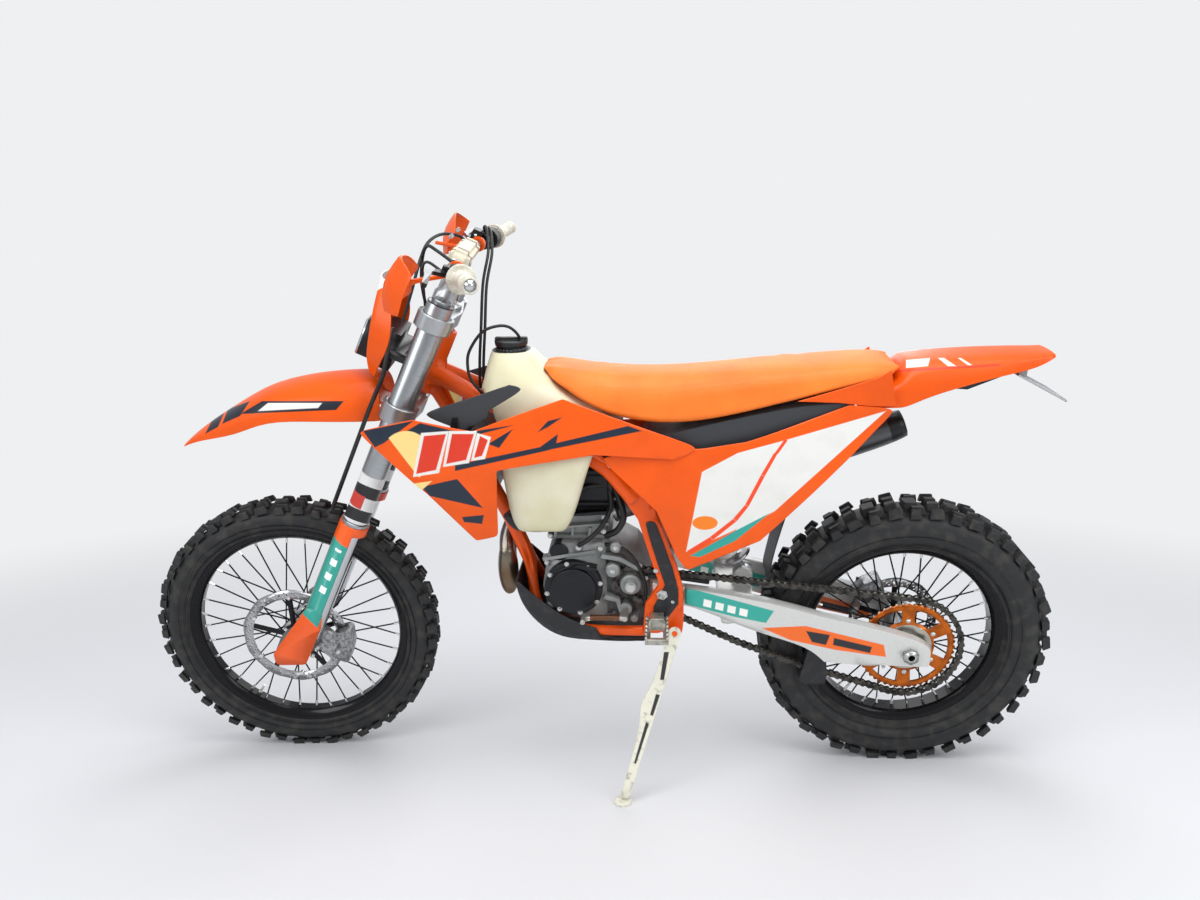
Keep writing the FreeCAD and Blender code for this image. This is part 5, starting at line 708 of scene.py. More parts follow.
def moulded(name, node, place, body, finish, crease, levels=2, sharp=60):
    """The node's skin again, its flats blended into one smooth surface with crisp edges."""
    form = solids_of(node, place)
    bmesh.ops.dissolve_limit(form, angle_limit=math.radians(1.0), verts=form.verts, edges=form.edges)
    bmesh.ops.triangulate(form, faces=[f for f in form.faces if len(f.verts) > 4])
    bmesh.ops.join_triangles(form, faces=form.faces, angle_face_threshold=math.radians(40),
                             angle_shape_threshold=math.radians(70), cmp_seam=False, cmp_sharp=False)
    layer = form.edges.layers.float.new("crease_edge")
    for edge in form.edges:
        if len(edge.link_faces) != 2 or edge.calc_face_angle(0) > math.radians(crease):
            edge[layer] = 0.85
    made = piece(name, placed(form, place), body, finish, sharp, [node])
    smooth = made.modifiers.new("smooth skin", "SUBSURF")
    smooth.levels = smooth.render_levels = levels
    return made


ORANGE = "f25a02"
orange_finish = Finish("orange moulding", ORANGE, 0.34, Specular_IOR_Level=0.3)


def rubbed(finish, color):
    """Gives a moulding its faint clouds of colour, fine scratches and a grain that catches the light."""
    cloud = finish.noise(9.0, 5.0)
    dark = tuple(c * 0.86 for c in tint(color)[:3]) + (1.0,)
    scratch = finish.noise(1.0, 6.0, finish.spot(bike, (0.9, 0.06, 0.24)))
    finish.set(Roughness=cloud * 0.16 + scratch * 0.1 + 0.2)
    finish.bump(scratch * 0.4 + finish.noise(1500.0, 2.0) * 0.6, 0.00012, 0.4)
    return finish.mixed(cloud.ramp(0.3, 0.7), color, dark)


orange_finish.set(Base_Color=rubbed(orange_finish, ORANGE))

# Front mudguard: long and arched, dropping to a beak, with a dark band along each flank that ends in slanted stripes
# towards the beak. It is bolted up under the lower clamp.
fender_finish = Finish("front mudguard orange", ORANGE, 0.34, Specular_IOR_Level=0.3)
skin = rubbed(fender_finish, ORANGE)
seen_at = fender_finish.view_spot(fork)
fender_finish.set(Base_Color=fender_finish.filmed(
    skin, seen_at,
    ("22262f", [[(262, 401), (344, 401), (336, 410), (240, 414)], [(228, 409), (250, 401), (240, 416), (222, 424)],
                [(212, 420), (225, 411), (218, 427), (205, 434)]]),
    ("e9e3dc", [[(268, 403), (322, 403), (318, 408), (258, 411)]]),
))
moulded("front_mudguard_skin", "front_mudguard", fork, "steering", fender_finish, crease=60)

# Headlight mask and lamp: an orange shield with a white number field at its top, and behind it a dark housing with a
# clear lens in a bright bowl, held to the fork tubes by two arms.
mask_finish = Finish("headlight mask orange", ORANGE, 0.32, Specular_IOR_Level=0.3)
skin = rubbed(mask_finish, ORANGE)
x, y, s = mask_finish.read(fork)
number_field = (s - abs(y) * 0.25).ramp(868, 869) * (1 - abs(y).ramp(66, 67)) * (x < -85)
mask_finish.set(Base_Color=mask_finish.mixed(number_field, skin, "e4e2dc"))
moulded("headlight_mask_skin", "headlight_mask", fork, "steering", mask_finish, crease=45)
housing_finish = Finish("lamp housing", "17181a", 0.42).worn(70.0, 0.3, 0.55).grained(900.0, 2.0, 0.0002, 0.4)
x, y, s = housing_finish.read(fork)
lens = (x < -100) & (abs(y) < 58)
flutes = (y * 0.9).wave() * 0.5 + 0.5
housing_finish.set(
    Base_Color=housing_finish.mixed(lens, "17181a", housing_finish.mixed(flutes, "7f8a90", "dfe6ea")),
    Roughness=0.42 - lens * 0.34, Metallic=lens * 0.6)
recast("headlight_unit", "headlight", fork, "steering", housing_finish, 2.0)

# Fork guards: orange mouldings that wrap the front of each leg, with a teal decal down the left one and a redder right
# one, each bolted to its lug at the foot.
guard_finish = Finish("fork guard", ORANGE, 0.3, Coat_Weight=0.2, Coat_Roughness=0.15)
skin = rubbed(guard_finish, ORANGE)
x, y, s = guard_finish.read(fork)
decal = (s + x * 0.5).ramp(128, 129) * (1 - (s + x * 0.2).ramp(342, 343)) * (y < 0) * (x > 4) * (x < 48)
lettering = ((s * 0.16).wave() > 0.15) * (s > 190) * (s < 322) * ((x - 27) * (x - 27) < 64)
teal = guard_finish.mixed(lettering, "2c9a8c", "e8efe9")
right_one = guard_finish.mixed(y > 0, skin, "d8401c")
guard_finish.set(Base_Color=guard_finish.mixed(decal, right_one, teal))
recast("fork_guard_skins", "fork_guards", fork, "steering", guard_finish, 1.0)

# Clamps: two yokes machined from aluminium and anodised silver, which pinch the fork tubes with two bolts a side. The
# upper one carries the bar mounts, and a large nut on it holds the steering stem.
clamp_finish = Finish("machined clamps", "aeb0b2", 0.33, 0.9)
milled = clamp_finish.noise(1.0, 3.0, clamp_finish.spot(fork, (0.15, 0.9, 0.9)))
clamp_finish.set(Roughness=milled * 0.22 + 0.22, Base_Color=clamp_finish.mixed(milled, "96989a", "c4c6c8"))
clamp_finish.bump(milled, 0.0001, 0.4)
recast("clamp_yokes", "triple_clamps", fork, "steering", clamp_finish, 1.6)
bolt_finish = Finish("zinc plated bolts", "c3c4c2", 0.28, 0.95).worn(220.0, 0.2, 0.4)


def bolt(spot, run, radius, height, washer=1.25):
    """A bolt with a flanged head, seated at a spot and standing out along a run."""
    spot, run = Vector(spot), Vector(run).normalized()
    flange = bar([spot - run * 2, spot + run * 0.8, spot + run * 1.2], [radius * washer, radius * washer, radius], 16)
    head = bar([spot, spot + run * height * 0.85, spot + run * height], [radius, radius, radius * 0.82], 6)
    return joined([flange, head])


def bolted(name, place, body, rows):
    """Bolts handed over as one piece, from rows of a spot, a run, a radius and a height."""
    piece(name, placed(joined([bolt(*row) for row in rows]), place), body, bolt_finish)


rows = []
for hand in (-1, 1):
    rows += [((60, 83 * hand, level), (1, 0, 0), 4.0, 6) for level in (672, 690, 893, 909)]
    rows += [((2, 50 * hand + 34 * k, 1072), (-0.45, 0, 1), 3.6, 5) for k in (-0.3, 0.3)]
rows.append(((59, 0, 924), (0, 0, 1), 15, 9, 1.15))
bolted("clamp_bolts", fork, "steering", rows)
caps = []
for hand in (-1, 1):
    caps.append(bar([(LEG_X, LEG_Y * hand, s) for s in (944, 950, 952)], [22, 22, 20], 24))
    caps.append(bar([(LEG_X, LEG_Y * hand, s) for s in (950, 957)], 7.5, 6))
cap_finish = Finish("anodised fork caps", "8f9295", 0.3, 0.9).worn(150.0, 0.22, 0.4)
piece("fork_top_caps", placed(joined(caps), fork), "steering", cap_finish)

# Handlebar: a tapered aluminium bar, polished where nothing is clamped on it, with a foam-filled cream crossbar pad
# over its middle that has brown stripes and a stitched edge.
bar_finish = Finish("polished bar", "c9cacb", 0.2, 0.95).worn(90.0, 0.14, 0.32)
recast("handlebar_tube", "handlebar", fork, "steering", bar_finish, 0.0, sharp=60)
pad_finish = Finish("bar pad cover", "ddd6bd", 0.6)
x, y, s = pad_finish.read(fork)
weave = ((x * 4).wave() + (y * 4).wave()) * 0.25 + 0.5
ends = (abs(abs(y) - 62) < 5) | (abs(abs(y) - 74) < 2.5)
stripes = ends | ((abs(y) < 34) & (abs(s + x * 0.5 - 1056) < 5) & ((y * 0.5).wave() > -0.2))
cloud = pad_finish.noise(30.0, 4.0)
cream = pad_finish.mixed(cloud, "cfc7ab", "e6e0cc")
pad_finish.set(Base_Color=pad_finish.mixed(stripes, cream, "5a4636"), Roughness=cloud * 0.2 + 0.5)
pad_finish.bump(weave, 0.0004, 0.5)
pad_form = eased(solids_of("bar_pad", fork), 7.0, 30, 4)
pad_piece = piece("bar_pad_cushion", placed(pad_form, fork), "steering", pad_finish, 50, ["bar_pad"])

# Grips: soft cream rubber sleeves with fine rings and a diamond tread, each with a wide flange at its inner end and a
# closed outer end. They are glued, the left one on the bar and the right one on the throttle's tube.
grip_finish = Finish("cream grip rubber", "dad8c9", 0.55, Subsurface_Weight=0.05)
x, y, s = grip_finish.read(fork)
rings = (abs(y) * 1.6).wave()
diamonds = (abs(y) * 0.9).wave() * (s * 1.1).wave()
soil = grip_finish.noise(55.0, 5.0)
grip_finish.set(Base_Color=grip_finish.mixed(soil.ramp(0.35, 0.75), "e2e0d2", "b9b5a2"),
                Roughness=soil * 0.25 + 0.42)
grip_finish.bump(rings * 0.5 + diamonds * 0.5, 0.0006, 0.7)
moulded("grip_sleeves", "grips", fork, "steering", grip_finish, crease=60)

# Hand controls: forged lever perches with their master cylinders, levers in natural metal, a black throttle housing on
# the right and the switches on the left, all pinched on the bar by small bolts.
control_finish = Finish("black anodised controls", "19191b", 0.36, 0.5)
x, y, s = control_finish.read(fork)
worn = control_finish.noise(120.0, 5.0)
lever_metal = (x < 12) * (abs(y) > 196)
control_finish.set(Base_Color=control_finish.mixed(lever_metal, "1b1b1d", "9a9c9e"),
                   Roughness=worn * 0.25 + 0.26, Metallic=lever_metal * 0.5 + 0.4)
moulded("lever_perches", "hand_controls", fork, "steering", control_finish, crease=50, sharp=50)
bolted("control_bolts", fork, "steering", [row for hand in (-1, 1) for row in (
    ((34, hand * 176, 1037), (-1, 0, 0), 3.2, 4), ((34, hand * 176, 1055), (-1, 0, 0), 3.2, 4),
    ((30, hand * 200, 1042), (0, 0, 1), 5.0, 4), ((80, hand * 262, 1056), (1, 0, 0), 3.0, 3))])

# Handguards: shields moulded in orange plastic to turn branches away from the fingers. Their outer ends stand free,
# and each is held by one light arm that is clamped to the bar beside the lever.
shield_finish = Finish("handguard orange", ORANGE, 0.32, Specular_IOR_Level=0.3)
shield_finish.set(Base_Color=rubbed(shield_finish, ORANGE))
moulded("handguard_shields", "handguards", fork, "steering", shield_finish, crease=46)

# Hoses and cables: black rubber-covered lines from the levers and the throttle, looping ahead of the bar and down
# beside the steering head, and the front brake hose down the left leg to its caliper.


def line(points, radius, sides=10, steps=6):
    """A smooth hose through points, bending evenly from each to the next."""
    spots = [Vector(p) for p in points]
    ends = [spots[0] * 2 - spots[1]] + spots + [spots[-1] * 2 - spots[-2]]
    smooth = []
    for a, b, c, d in zip(ends, ends[1:], ends[2:], ends[3:]):
        for k in range(steps):
            t = k / steps
            bend, twist = a * 2 - b * 5 + c * 4 - d, b * 3 - a - c * 3 + d
            smooth.append(b + ((c - a) * t + bend * t ** 2 + twist * t ** 3) / 2)
    return bar(smooth + [spots[-1]], radius, sides)


hose_finish = Finish("black hose", "141415", 0.42)
braid = hose_finish.noise(300.0, 2.0)
hose_finish.set(Roughness=braid * 0.25 + 0.32)
hose_finish.bump(braid, 0.0002, 0.4)
hoses = [
    line([(30, -130, 1040), (-8, -118, 1046), (-34, -84, 1040), (-38, -52, 1006), (-22, -36, 950),
          (14, -32, 890)], 3.6),
    line([(30, 120, 1040), (2, 112, 1050), (-30, 66, 1046), (-44, 0, 1030), (-40, -60, 1000), (-30, -98, 944),
          (-24, -101, 872)], 3.6),
    line([(20, -200, 1030), (-14, -150, 1024), (-26, -100, 1000), (-16, -70, 960), (8, -50, 900)], 3.0),
]
piece("control_hoses", placed(joined(hoses), fork), "steering", hose_finish, 60)
cables = []
to_bike = bike.inverted() @ fork
for off in (0, 9):
    high = [(66 + off, 250, 1048), (44 + off, 212, 1072), (52 + off, 150, 1086), (78 + off, 92, 1050),
            (96 + off, 52, 984)]
    low = [(-234 + off, 26, 1092), (-240 + off, 14, 1020), (-242 + off, 10, 962), (-238 + off, 8, 916)]
    cables.append(line([to_bike @ Vector(p) for p in high] + low, 3.4, steps=9))
cable_piece = piece("throttle_cables", placed(joined(cables), bike), None, hose_finish, 60)
fork @ Vector((96, 52, 984))
bike @ Vector((-240, 14, 1000))
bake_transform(cable_piece)
recast("brake_hose_front", "front_brake_hose", fork, "steering", hose_finish, 0.0, sharp=60)

# Calipers and axles: a caliper cast in aluminium and machined, bolted beside each disc, and hollow axles turned from
# steel, the front one pinched in its lugs by small bolts.
caliper_finish = Finish("cast caliper", "8d8f91", 0.4, 0.8)
grainy = caliper_finish.noise(150.0, 4.0)
caliper_finish.set(Base_Color=caliper_finish.mixed(grainy.ramp(0.3, 0.7), "6c6e70", "b3b5b6"),
                   Roughness=grainy * 0.3 + 0.28)
caliper_finish.bump(grainy, 0.0003, 0.4)
recast("front_brake_caliper", "front_caliper", fork, "steering", caliper_finish, 2.0)
recast("rear_brake_caliper", "rear_caliper", bike, "chassis", caliper_finish, 2.0)
axle_finish = Finish("turned steel", "b9bab9", 0.26, 1.0).worn(180.0, 0.18, 0.36)
recast("front_axle_spindle", "front_axle", fork, "steering", axle_finish, 0.5)
recast("rear_axle_spindle", "rear_axle", bike, "chassis", axle_finish, 0.8)
rows = [((60, -121, 12), (0, -1, 0), 4.5, 5), ((63, -121, 38), (0, -1, 0), 4.5, 5),
        ((88, -99, 52), (0, -1, 0), 5.5, 6), ((112, -97, 30), (0, -1, 0), 5.5, 6)]
rows += [((x, hand * 117, 52), (0, hand, 0), 4.0, 5) for hand in (-1, 1) for x in (28, 47)]
bolted("front_lug_bolts", fork, "steering", rows)

# Fuel tank: translucent cream polyethylene, rotation-moulded round the frame's spars with a lobe down each side, closed
# by a black screw cap whose vent hose loops forward and down behind the steering head.
tank_finish = Finish("cream tank plastic", "d8d2b2", 0.38, Subsurface_Weight=0.12)
cloud = tank_finish.noise(12.0, 5.0)
haze = tank_finish.noise(60.0, 3.0)
x, y, z = tank_finish.read(bike)
cream = tank_finish.mixed(cloud.ramp(0.3, 0.75), "dedac0", "d2cca8")
tank_finish.set(Base_Color=tank_finish.mixed(z > 1050, cream, "1a1b1d"), Roughness=haze * 0.2 + 0.28)
tank_finish.grained(700.0, 2.0, 0.0002, 0.5)
moulded("fuel_tank_shell", "fuel_tank", bike, "chassis", tank_finish, crease=64)
cap_black = Finish("black cap", "1a1b1d", 0.42)
x, y, z = cap_black.read(bike)
flute = (cap_black.node("Math", {"operation": "ARCTAN2"}, y, x + 162) * 28).wave()
cap_black.set(Roughness=cap_black.noise(90.0, 4.0) * 0.25 + 0.3)
cap_black.bump(flute, 0.0008, 0.8)
cap_side = [(0.01, 1042), (38, 1042), (38.5, 1044), (38, 1053), (35, 1056), (0.01, 1056)]
cap_place = Matrix.Translation((-162, 0, 0)) @ Matrix.Rotation(math.radians(90), 4, "X")
cap_form = placed(lathed(cap_side, 72, closed=False), cap_place)
cap_form = joined([cap_form, block((-196, -7, 1054), (68, 14, 8), 2.0)])
bmesh.ops.recalc_face_normals(cap_form, faces=cap_form.faces)
piece("fuel_cap", placed(cap_form, bike), "chassis", cap_black)
vent = line([(-158, 0, 1058), (-142, -6, 1076), (-159, -15, 1101), (-184, -25, 1108), (-218, -38, 1098),
             (-245, -48, 1064), (-253, -55, 1036), (-248, -60, 998), (-224, -62, 964)], 3.4)
piece("vent_hose", placed(vent, bike), "chassis", hose_finish, 60)

# Seat: foam on a plastic base under a gripping vinyl cover, welded in orange panels, with raised ribs across its top
# and a darker seam along each side.
seat_finish = Finish("seat cover", "f4791a", 0.55)
x, y, z = seat_finish.read(bike)
pores = seat_finish.noise(420.0, 3.0)
weave = (x * 2.2).wave() * (y * 2.2).wave() * 0.2 + pores * 0.8
ribbed = (x > 30) * (x < 480) * (abs(y) < 92)
ribs = (((x % 46) > 6) & ((x % 46) < 40)) * ribbed
seam = abs(abs(y) - 86 - (z - 960) * -0.1) < 1.2
cloud = seat_finish.noise(7.0, 5.0)
seat_finish.set(Base_Color=seat_finish.mixed(cloud.ramp(0.3, 0.7), "fa8220", "e86f12"),
                Roughness=pores * 0.25 + 0.4)
seat_finish.bump(ribs * 0.85 + weave * 0.12 - seam * 0.6, 0.0035, 0.85)
seat_made = moulded("seat_cushion", "seat", bike, "chassis", seat_finish, crease=75, levels=3)
cover = bpy.data.meshes.new_from_object(seat_made.evaluated_get(bpy.context.evaluated_depsgraph_get()))
seat_made.modifiers.clear()
spots, facings = numpy.zeros(3 * len(cover.vertices)), numpy.zeros(3 * len(cover.vertices))
cover.vertices.foreach_get("co", spots)
cover.vertices.foreach_get("normal", facings)
spots, facings = spots.reshape(-1, 3), facings.reshape(-1, 3)
back = numpy.array(bike.inverted())
x, y, z = (spots @ back[:3, :3].T + back[:3, 3]).T
steep = facings @ numpy.array(bike.to_3x3().col[2]) / mm


def between(value, low, high):
    """How far values have come from a low end to a high one, from 0 to 1."""
    return numpy.clip((value - low) / (high - low), 0, 1)


share = between(steep, 0.2, 0.6) * between(x, 20, 40) * between(-x, -500, -480)
rib = between(10 - numpy.abs((x - 20) % 46 - 23) * 0.5, 0, 1) * between(-numpy.abs(y), -104, -98)
spots += facings * ((rib * 3.2 - 1.2) * share * mm)[:, None]
cover.vertices.foreach_set("co", spots.ravel())
cover.update()
seat_made.data = cover
cover.set_sharp_from_angle(angle=math.radians(60))

# Shrouds and spoilers: orange mouldings that lead air to the radiators, with dark and pale film graphics, closed above
# by charcoal spoilers that are screwed down at their widest place.
NAVY, PALE, WHITE, RED = "1f2b3a", "f2d588", "e4e3dd", "d93a22"
shroud_finish = Finish("radiator shroud", ORANGE, 0.3, Specular_IOR_Level=0.35)
skin = rubbed(shroud_finish, ORANGE)
seen_at = shroud_finish.view_spot(bike)
across, _, down = shroud_finish.parts(seen_at)
dark = [
    [(363, 431), (412, 421), (424, 424), (384, 443), (376, 449)],
    [(405, 432), (420, 423), (462, 433), (470, 436), (430, 437)],
    [(455, 465), (545, 446), (550, 450), (455, 471)], [(540, 447), (558, 434), (556, 445), (548, 450)],
    [(548, 445), (628, 426), (642, 431), (548, 450)], [(533, 437), (548, 421), (572, 415), (560, 421), (545, 429)],
    [(488, 444), (513, 429), (499, 448)], [(476, 431), (520, 424), (508, 427), (476, 438)],
    [(421, 487), (457, 479), (483, 508), (430, 496)], [(462, 517), (484, 515), (482, 524), (464, 522)],
]
round_from = ((across - 406) * (across - 406) + (down - 456) * (down - 456)) ** 0.5
window = shroud_finish.patch(seen_at, [(359, 430), (432, 425), (440, 505), (430, 492)])
disc = (1 - round_from.ramp(24.5, 25.5)) * window
pale = disc | shroud_finish.patch(seen_at, [(411, 484), (432, 481), (421, 491)])
bars = [
    [(424, 436), (446, 434), (436, 470), (416, 474)], [(452, 434), (474, 434), (466, 460), (446, 464)],
    [(480, 436), (488, 440), (482, 456), (474, 458)],
]
out = ((-3, -3), (3, -3), (3, 3), (-3, 3))
rims = [[(a + da, b + db) for (a, b), (da, db) in zip(outline, out)] for outline in bars]
color = shroud_finish.mixed(pale, shroud_finish.filmed(skin, seen_at, (NAVY, dark)), PALE)
shroud_finish.set(Base_Color=shroud_finish.filmed(color, seen_at, (WHITE, rims), (RED, bars)))
moulded("shroud_skins", "radiator_shrouds", bike, "chassis", shroud_finish, crease=40)
charcoal = Finish("charcoal moulding", "33363a", 0.5).worn(50.0, 0.38, 0.6).grained(900.0, 2.0, 0.0002, 0.6)
moulded("spoiler_skins", "shroud_spoilers", bike, "chassis", charcoal, crease=40)

# Side panels: orange mouldings that double as number plates, with white fields split by a red line, a teal strip along
# the lower edge and a plain oval, bolted to the airbox.
panel_finish = Finish("side panel", ORANGE, 0.3, Specular_IOR_Level=0.35)
skin = rubbed(panel_finish, ORANGE)
seen_at = panel_finish.view_spot(bike)
across, _, down = panel_finish.parts(seen_at)
fields = [
    [(702, 472), (738, 453), (786, 440), (760, 500), (735, 530), (686, 552)],
    [(786, 440), (886, 411), (775, 511), (735, 533), (745, 500)],
]
split = [
    [(784, 440), (788, 440), (778, 454), (774, 454)], [(774, 453), (778, 453), (765, 476), (761, 475)],
    [(761, 475), (765, 476), (749, 506), (745, 505)], [(745, 505), (749, 506), (737, 521), (733, 519)],
    [(733, 519), (737, 521), (713, 540), (710, 537)], [(710, 537), (713, 540), (690, 553), (687, 551)],
]
strip = [[(690, 556), (735, 531), (770, 513), (760, 521), (735, 541), (700, 557)]]
oval = 1 - ((((across - 705) / 13) ** 2 + ((down - 523) / 7) ** 2) ** 0.5).ramp(0.95, 1.0)
white = panel_finish.mixed(panel_finish.noise(25.0, 5.0).ramp(0.4, 0.8), "e2e2dd", "dbdbd5")
color = panel_finish.filmed(skin, seen_at, (white, fields), ("ee4a1c", split), ("2f9e93", strip))
panel_finish.set(Base_Color=panel_finish.mixed(oval, color, "f08020"))
moulded("side_panel_skins", "side_panels", bike, "chassis", panel_finish, crease=40)

# Tail: an orange mudguard moulded in one piece, with small white marks and a thin red line of painted shade along its
# edge, and under its end a red lamp in a black housing and a thin bright plate.


def plate(outline, y_from, y_to, bevel):
    """A flat plate cut to an outline of x and z pairs, its edges broken."""
    form = bmesh.new()
    near = [form.verts.new((x, y_from, z)) for x, z in outline]
    far = [form.verts.new((x, y_to, z)) for x, z in outline]
    form.faces.new(near)
    form.faces.new(far)
    for i, vert in enumerate(near):
        k = (i + 1) % len(near)
        form.faces.new((vert, near[k], far[k], far[i]))
    bmesh.ops.recalc_face_normals(form, faces=form.faces)
    bmesh.ops.bevel(form, geom=form.edges, offset=bevel, segments=1, affect="EDGES", clamp_overlap=True)
    return form


tail_finish = Finish("rear mudguard orange", ORANGE, 0.32, Specular_IOR_Level=0.3)
skin = rubbed(tail_finish, ORANGE)
seen_at = tail_finish.view_spot(bike)
marks = [
    [(938, 358), (944, 358), (956, 366), (948, 366)], [(958, 358), (961, 358), (972, 365), (968, 365)],
    [(906, 360), (930, 358), (928, 366), (906, 368)],
]
# Painted shade: a thin red line along the mudguard's edge.
painted_shade_line = [[(880, 371), (1000, 364), (1000, 366), (880, 373)]]
tail_finish.set(Base_Color=tail_finish.filmed(skin, seen_at, (WHITE, marks), (RED, painted_shade_line)))
moulded("rear_mudguard_skin", "rear_mudguard", bike, "chassis", tail_finish, crease=60)
wing = [(462, 952), (568, 983), (629, 1002), (654, 1019), (669, 939), (616, 940), (549, 948)]
wings = [plate(wing, hand * 110, hand * 113, 1.0) for hand in (-1, 1)]
piece("mudguard_wings", placed(joined(wings), bike), "chassis", orange_finish)
lamp_finish = Finish("tail lamp", "17181a", 0.4)
x, y, z = lamp_finish.read(bike)
red_lens = (x > 903) * (z < 1012) * (x < 922)
prisms = (y * 1.2).wave() * (z * 1.2).wave()
bright = (x > 925) * (z > 932) * (abs(y) < 63) * (z < 1000)
lamp_finish.worn(60.0, 0.3, 0.5)
lensed = lamp_finish.mixed(red_lens, "17181a", "a81512")
lamp_finish.set(Base_Color=lamp_finish.mixed(bright, lensed, "b8babb"), Metallic=bright * 0.8)
lamp_finish.bump(prisms * red_lens + lamp_finish.noise(800.0, 2.0) * 0.2, 0.0006, 0.5)
recast("tail_lamp_unit", "tail_lamp", bike, "chassis", lamp_finish, 0.8)

# Frame: steel tubes welded into one cradle round the engine and painted orange, with black plastic guards clipped over
# the places that boots rub, and a black plate under the engine.
paint = "ee5602"
frame_finish = Finish("frame paint", paint, 0.3, Specular_IOR_Level=0.35)
frame_finish.set(Base_Color=rubbed(frame_finish, paint))
moulded("frame_tubes", "main_frame", bike, "chassis", frame_finish, crease=50)
guard_black = Finish("black guard plastic", "17181a", 0.5)
x, y, z = guard_black.read(bike)
scuffed = guard_black.noise(45.0, 6.0)
pimples = guard_black.noise(1200.0, 2.0)
guard_black.set(Base_Color=guard_black.mixed(scuffed.ramp(0.45, 0.8), "15161a", "2f3033"),
                Roughness=scuffed * 0.3 + 0.3)
guard_black.bump(pimples * 0.6 + scuffed * 0.4, 0.0004, 0.6)
moulded("frame_guard_skins", "frame_guards", bike, "chassis", guard_black, crease=38)
bolted("guard_bolts", bike, "chassis", [((x, hand * y, z), (0, hand, 0), 4.4, 4) for hand in (-1, 1) for x, y, z in (
    (100, 123, 738), (158, 127, 560), (165, 127, 500), (196, 127, 482), (60, 118, 812))])

# Engine: sand-cast alloy crankcase, cylinder and head with ribs and bolts all round, black covers over the ignition and
# the clutch, a starter motor in front, a spark plug lead on top and rubber hoses to the radiators.
case_finish = Finish("cast engine alloy", "8f9291", 0.46, 0.4)
x, y, z = case_finish.read(bike)
cam_cover = (z > 672) * (x < 60)
grit = case_finish.noise(320.0, 4.0)
stain = case_finish.noise(14.0, 5.0)
metal = case_finish.mixed(stain.ramp(0.3, 0.7), "9b9e9c", "7a7d7c")
case_finish.set(Base_Color=case_finish.mixed(cam_cover, metal, "191b1d"), Roughness=grit * 0.25 + 0.34)
case_finish.bump(grit, 0.0005, 0.6)
recast("crankcase_castings", "engine_case", bike, "chassis", case_finish, 3.0)
recast("cylinder_castings", "engine_cylinder", bike, "chassis", case_finish, 2.5)
cover_finish = Finish("black engine cover", "121519", 0.36, 0.35)
grit = cover_finish.noise(420.0, 3.0)
cover_finish.set(Roughness=grit * 0.2 + 0.26)
cover_finish.bump(grit, 0.0003, 0.5)
moulded("engine_side_covers", "engine_covers", bike, "chassis", cover_finish, crease=50)


def shaft_cover(x, z, side, sides=48):
    """A turned boss about a line across the machine, from radius and y pairs."""
    whole = [(0.01, side[0][1])] + side + [(0.01, side[-1][1])]
    return placed(lathed(whole, sides, closed=False), Matrix.Translation((x, 0, z)))


castings = [
    shaft_cover(99, 507, [(25, -84), (25, -94), (22, -97), (14, -97), (13, -106), (12, -107)]),
    shaft_cover(86, 443, [(15, -60), (15, -92), (12, -94)]),
    shaft_cover(106, 420, [(9, -70), (9, -98), (7, -100)]), shaft_cover(60, 420, [(8, -70), (8, -96), (6, -98)]),
    shaft_cover(58, 545, [(17, -80), (17, -98), (13, -102)]), shaft_cover(-92, 452, [(10, -80), (10, -96), (7, -98)]),
    shaft_cover(66, 600, [(13, -70), (13, -90), (10, -93)]), shaft_cover(-20, 600, [(11, -60), (11, -88), (8, -91)]),
]
castings += [plate([(x, 616), (x + 7, 616), (x + 10, 640), (x + 3, 640)], -67, -60, 0.6) for x in (-80, -40, 0)]
castings += [plate(outline, y_from, y_to, 0.6) for y_from, y_to, outline in (
    (-70, -58, [(-96, 636), (50, 648), (49, 654), (-97, 642)]),
    (-72, -58, [(-98, 664), (48, 676), (47, 684), (-99, 672)]),
    (-92, -70, [(30, 574), (74, 566), (120, 540), (124, 548), (78, 576), (33, 584)]),
    (-94, -70, [(34, 470), (64, 462), (72, 428), (80, 430), (72, 470), (38, 480)]),
    (-90, -66, [(-104, 566), (20, 586), (18, 594), (-106, 574)]),
)]
piece("engine_ribs_and_bosses", placed(joined(castings), bike), "chassis", case_finish)
rows = []
cover_rings = ((-34, 503, 64, -1, 4.6), (-34, 503, 53, 1, 4.2), (49.5, 507, 64, 1, 4.2))
for a in (math.radians(turn * 45 + 12) for turn in range(8)):
    rows += [((x + reach * math.cos(a), 105.5 * hand, z + reach * math.sin(a)), (0, hand, 0), radius, 4.5)
             for x, z, reach, hand, radius in cover_rings]
rows += [(spot, (0, -1, 0), 4.8, 4) for spot in (
    (-88, -70, 655), (40, -72, 668), (-88, -68, 620), (38, -70, 632), (58, -102, 545), (66, -93, 600),
    (120, -86, 552), (30, -86, 596), (-96, -86, 560), (-20, -91, 600), (134, -86, 470), (134, -86, 520))]
rows.append(((99, -106, 507), (0, -1, 0), 12, 9, 1.1))
bolted("engine_bolts", bike, "chassis", rows)
starter = [
    shaft_cover(-66, 588, [(20, -88), (22, -86), (22, -20), (20, -18)]),
    plate([(-60, 536), (-20, 556), (18, 548), (22, 556), (-20, 566), (-66, 546)], -112, -84, 0.6),
]
piece("starter_motor", placed(joined(starter), bike), "chassis", cover_finish)
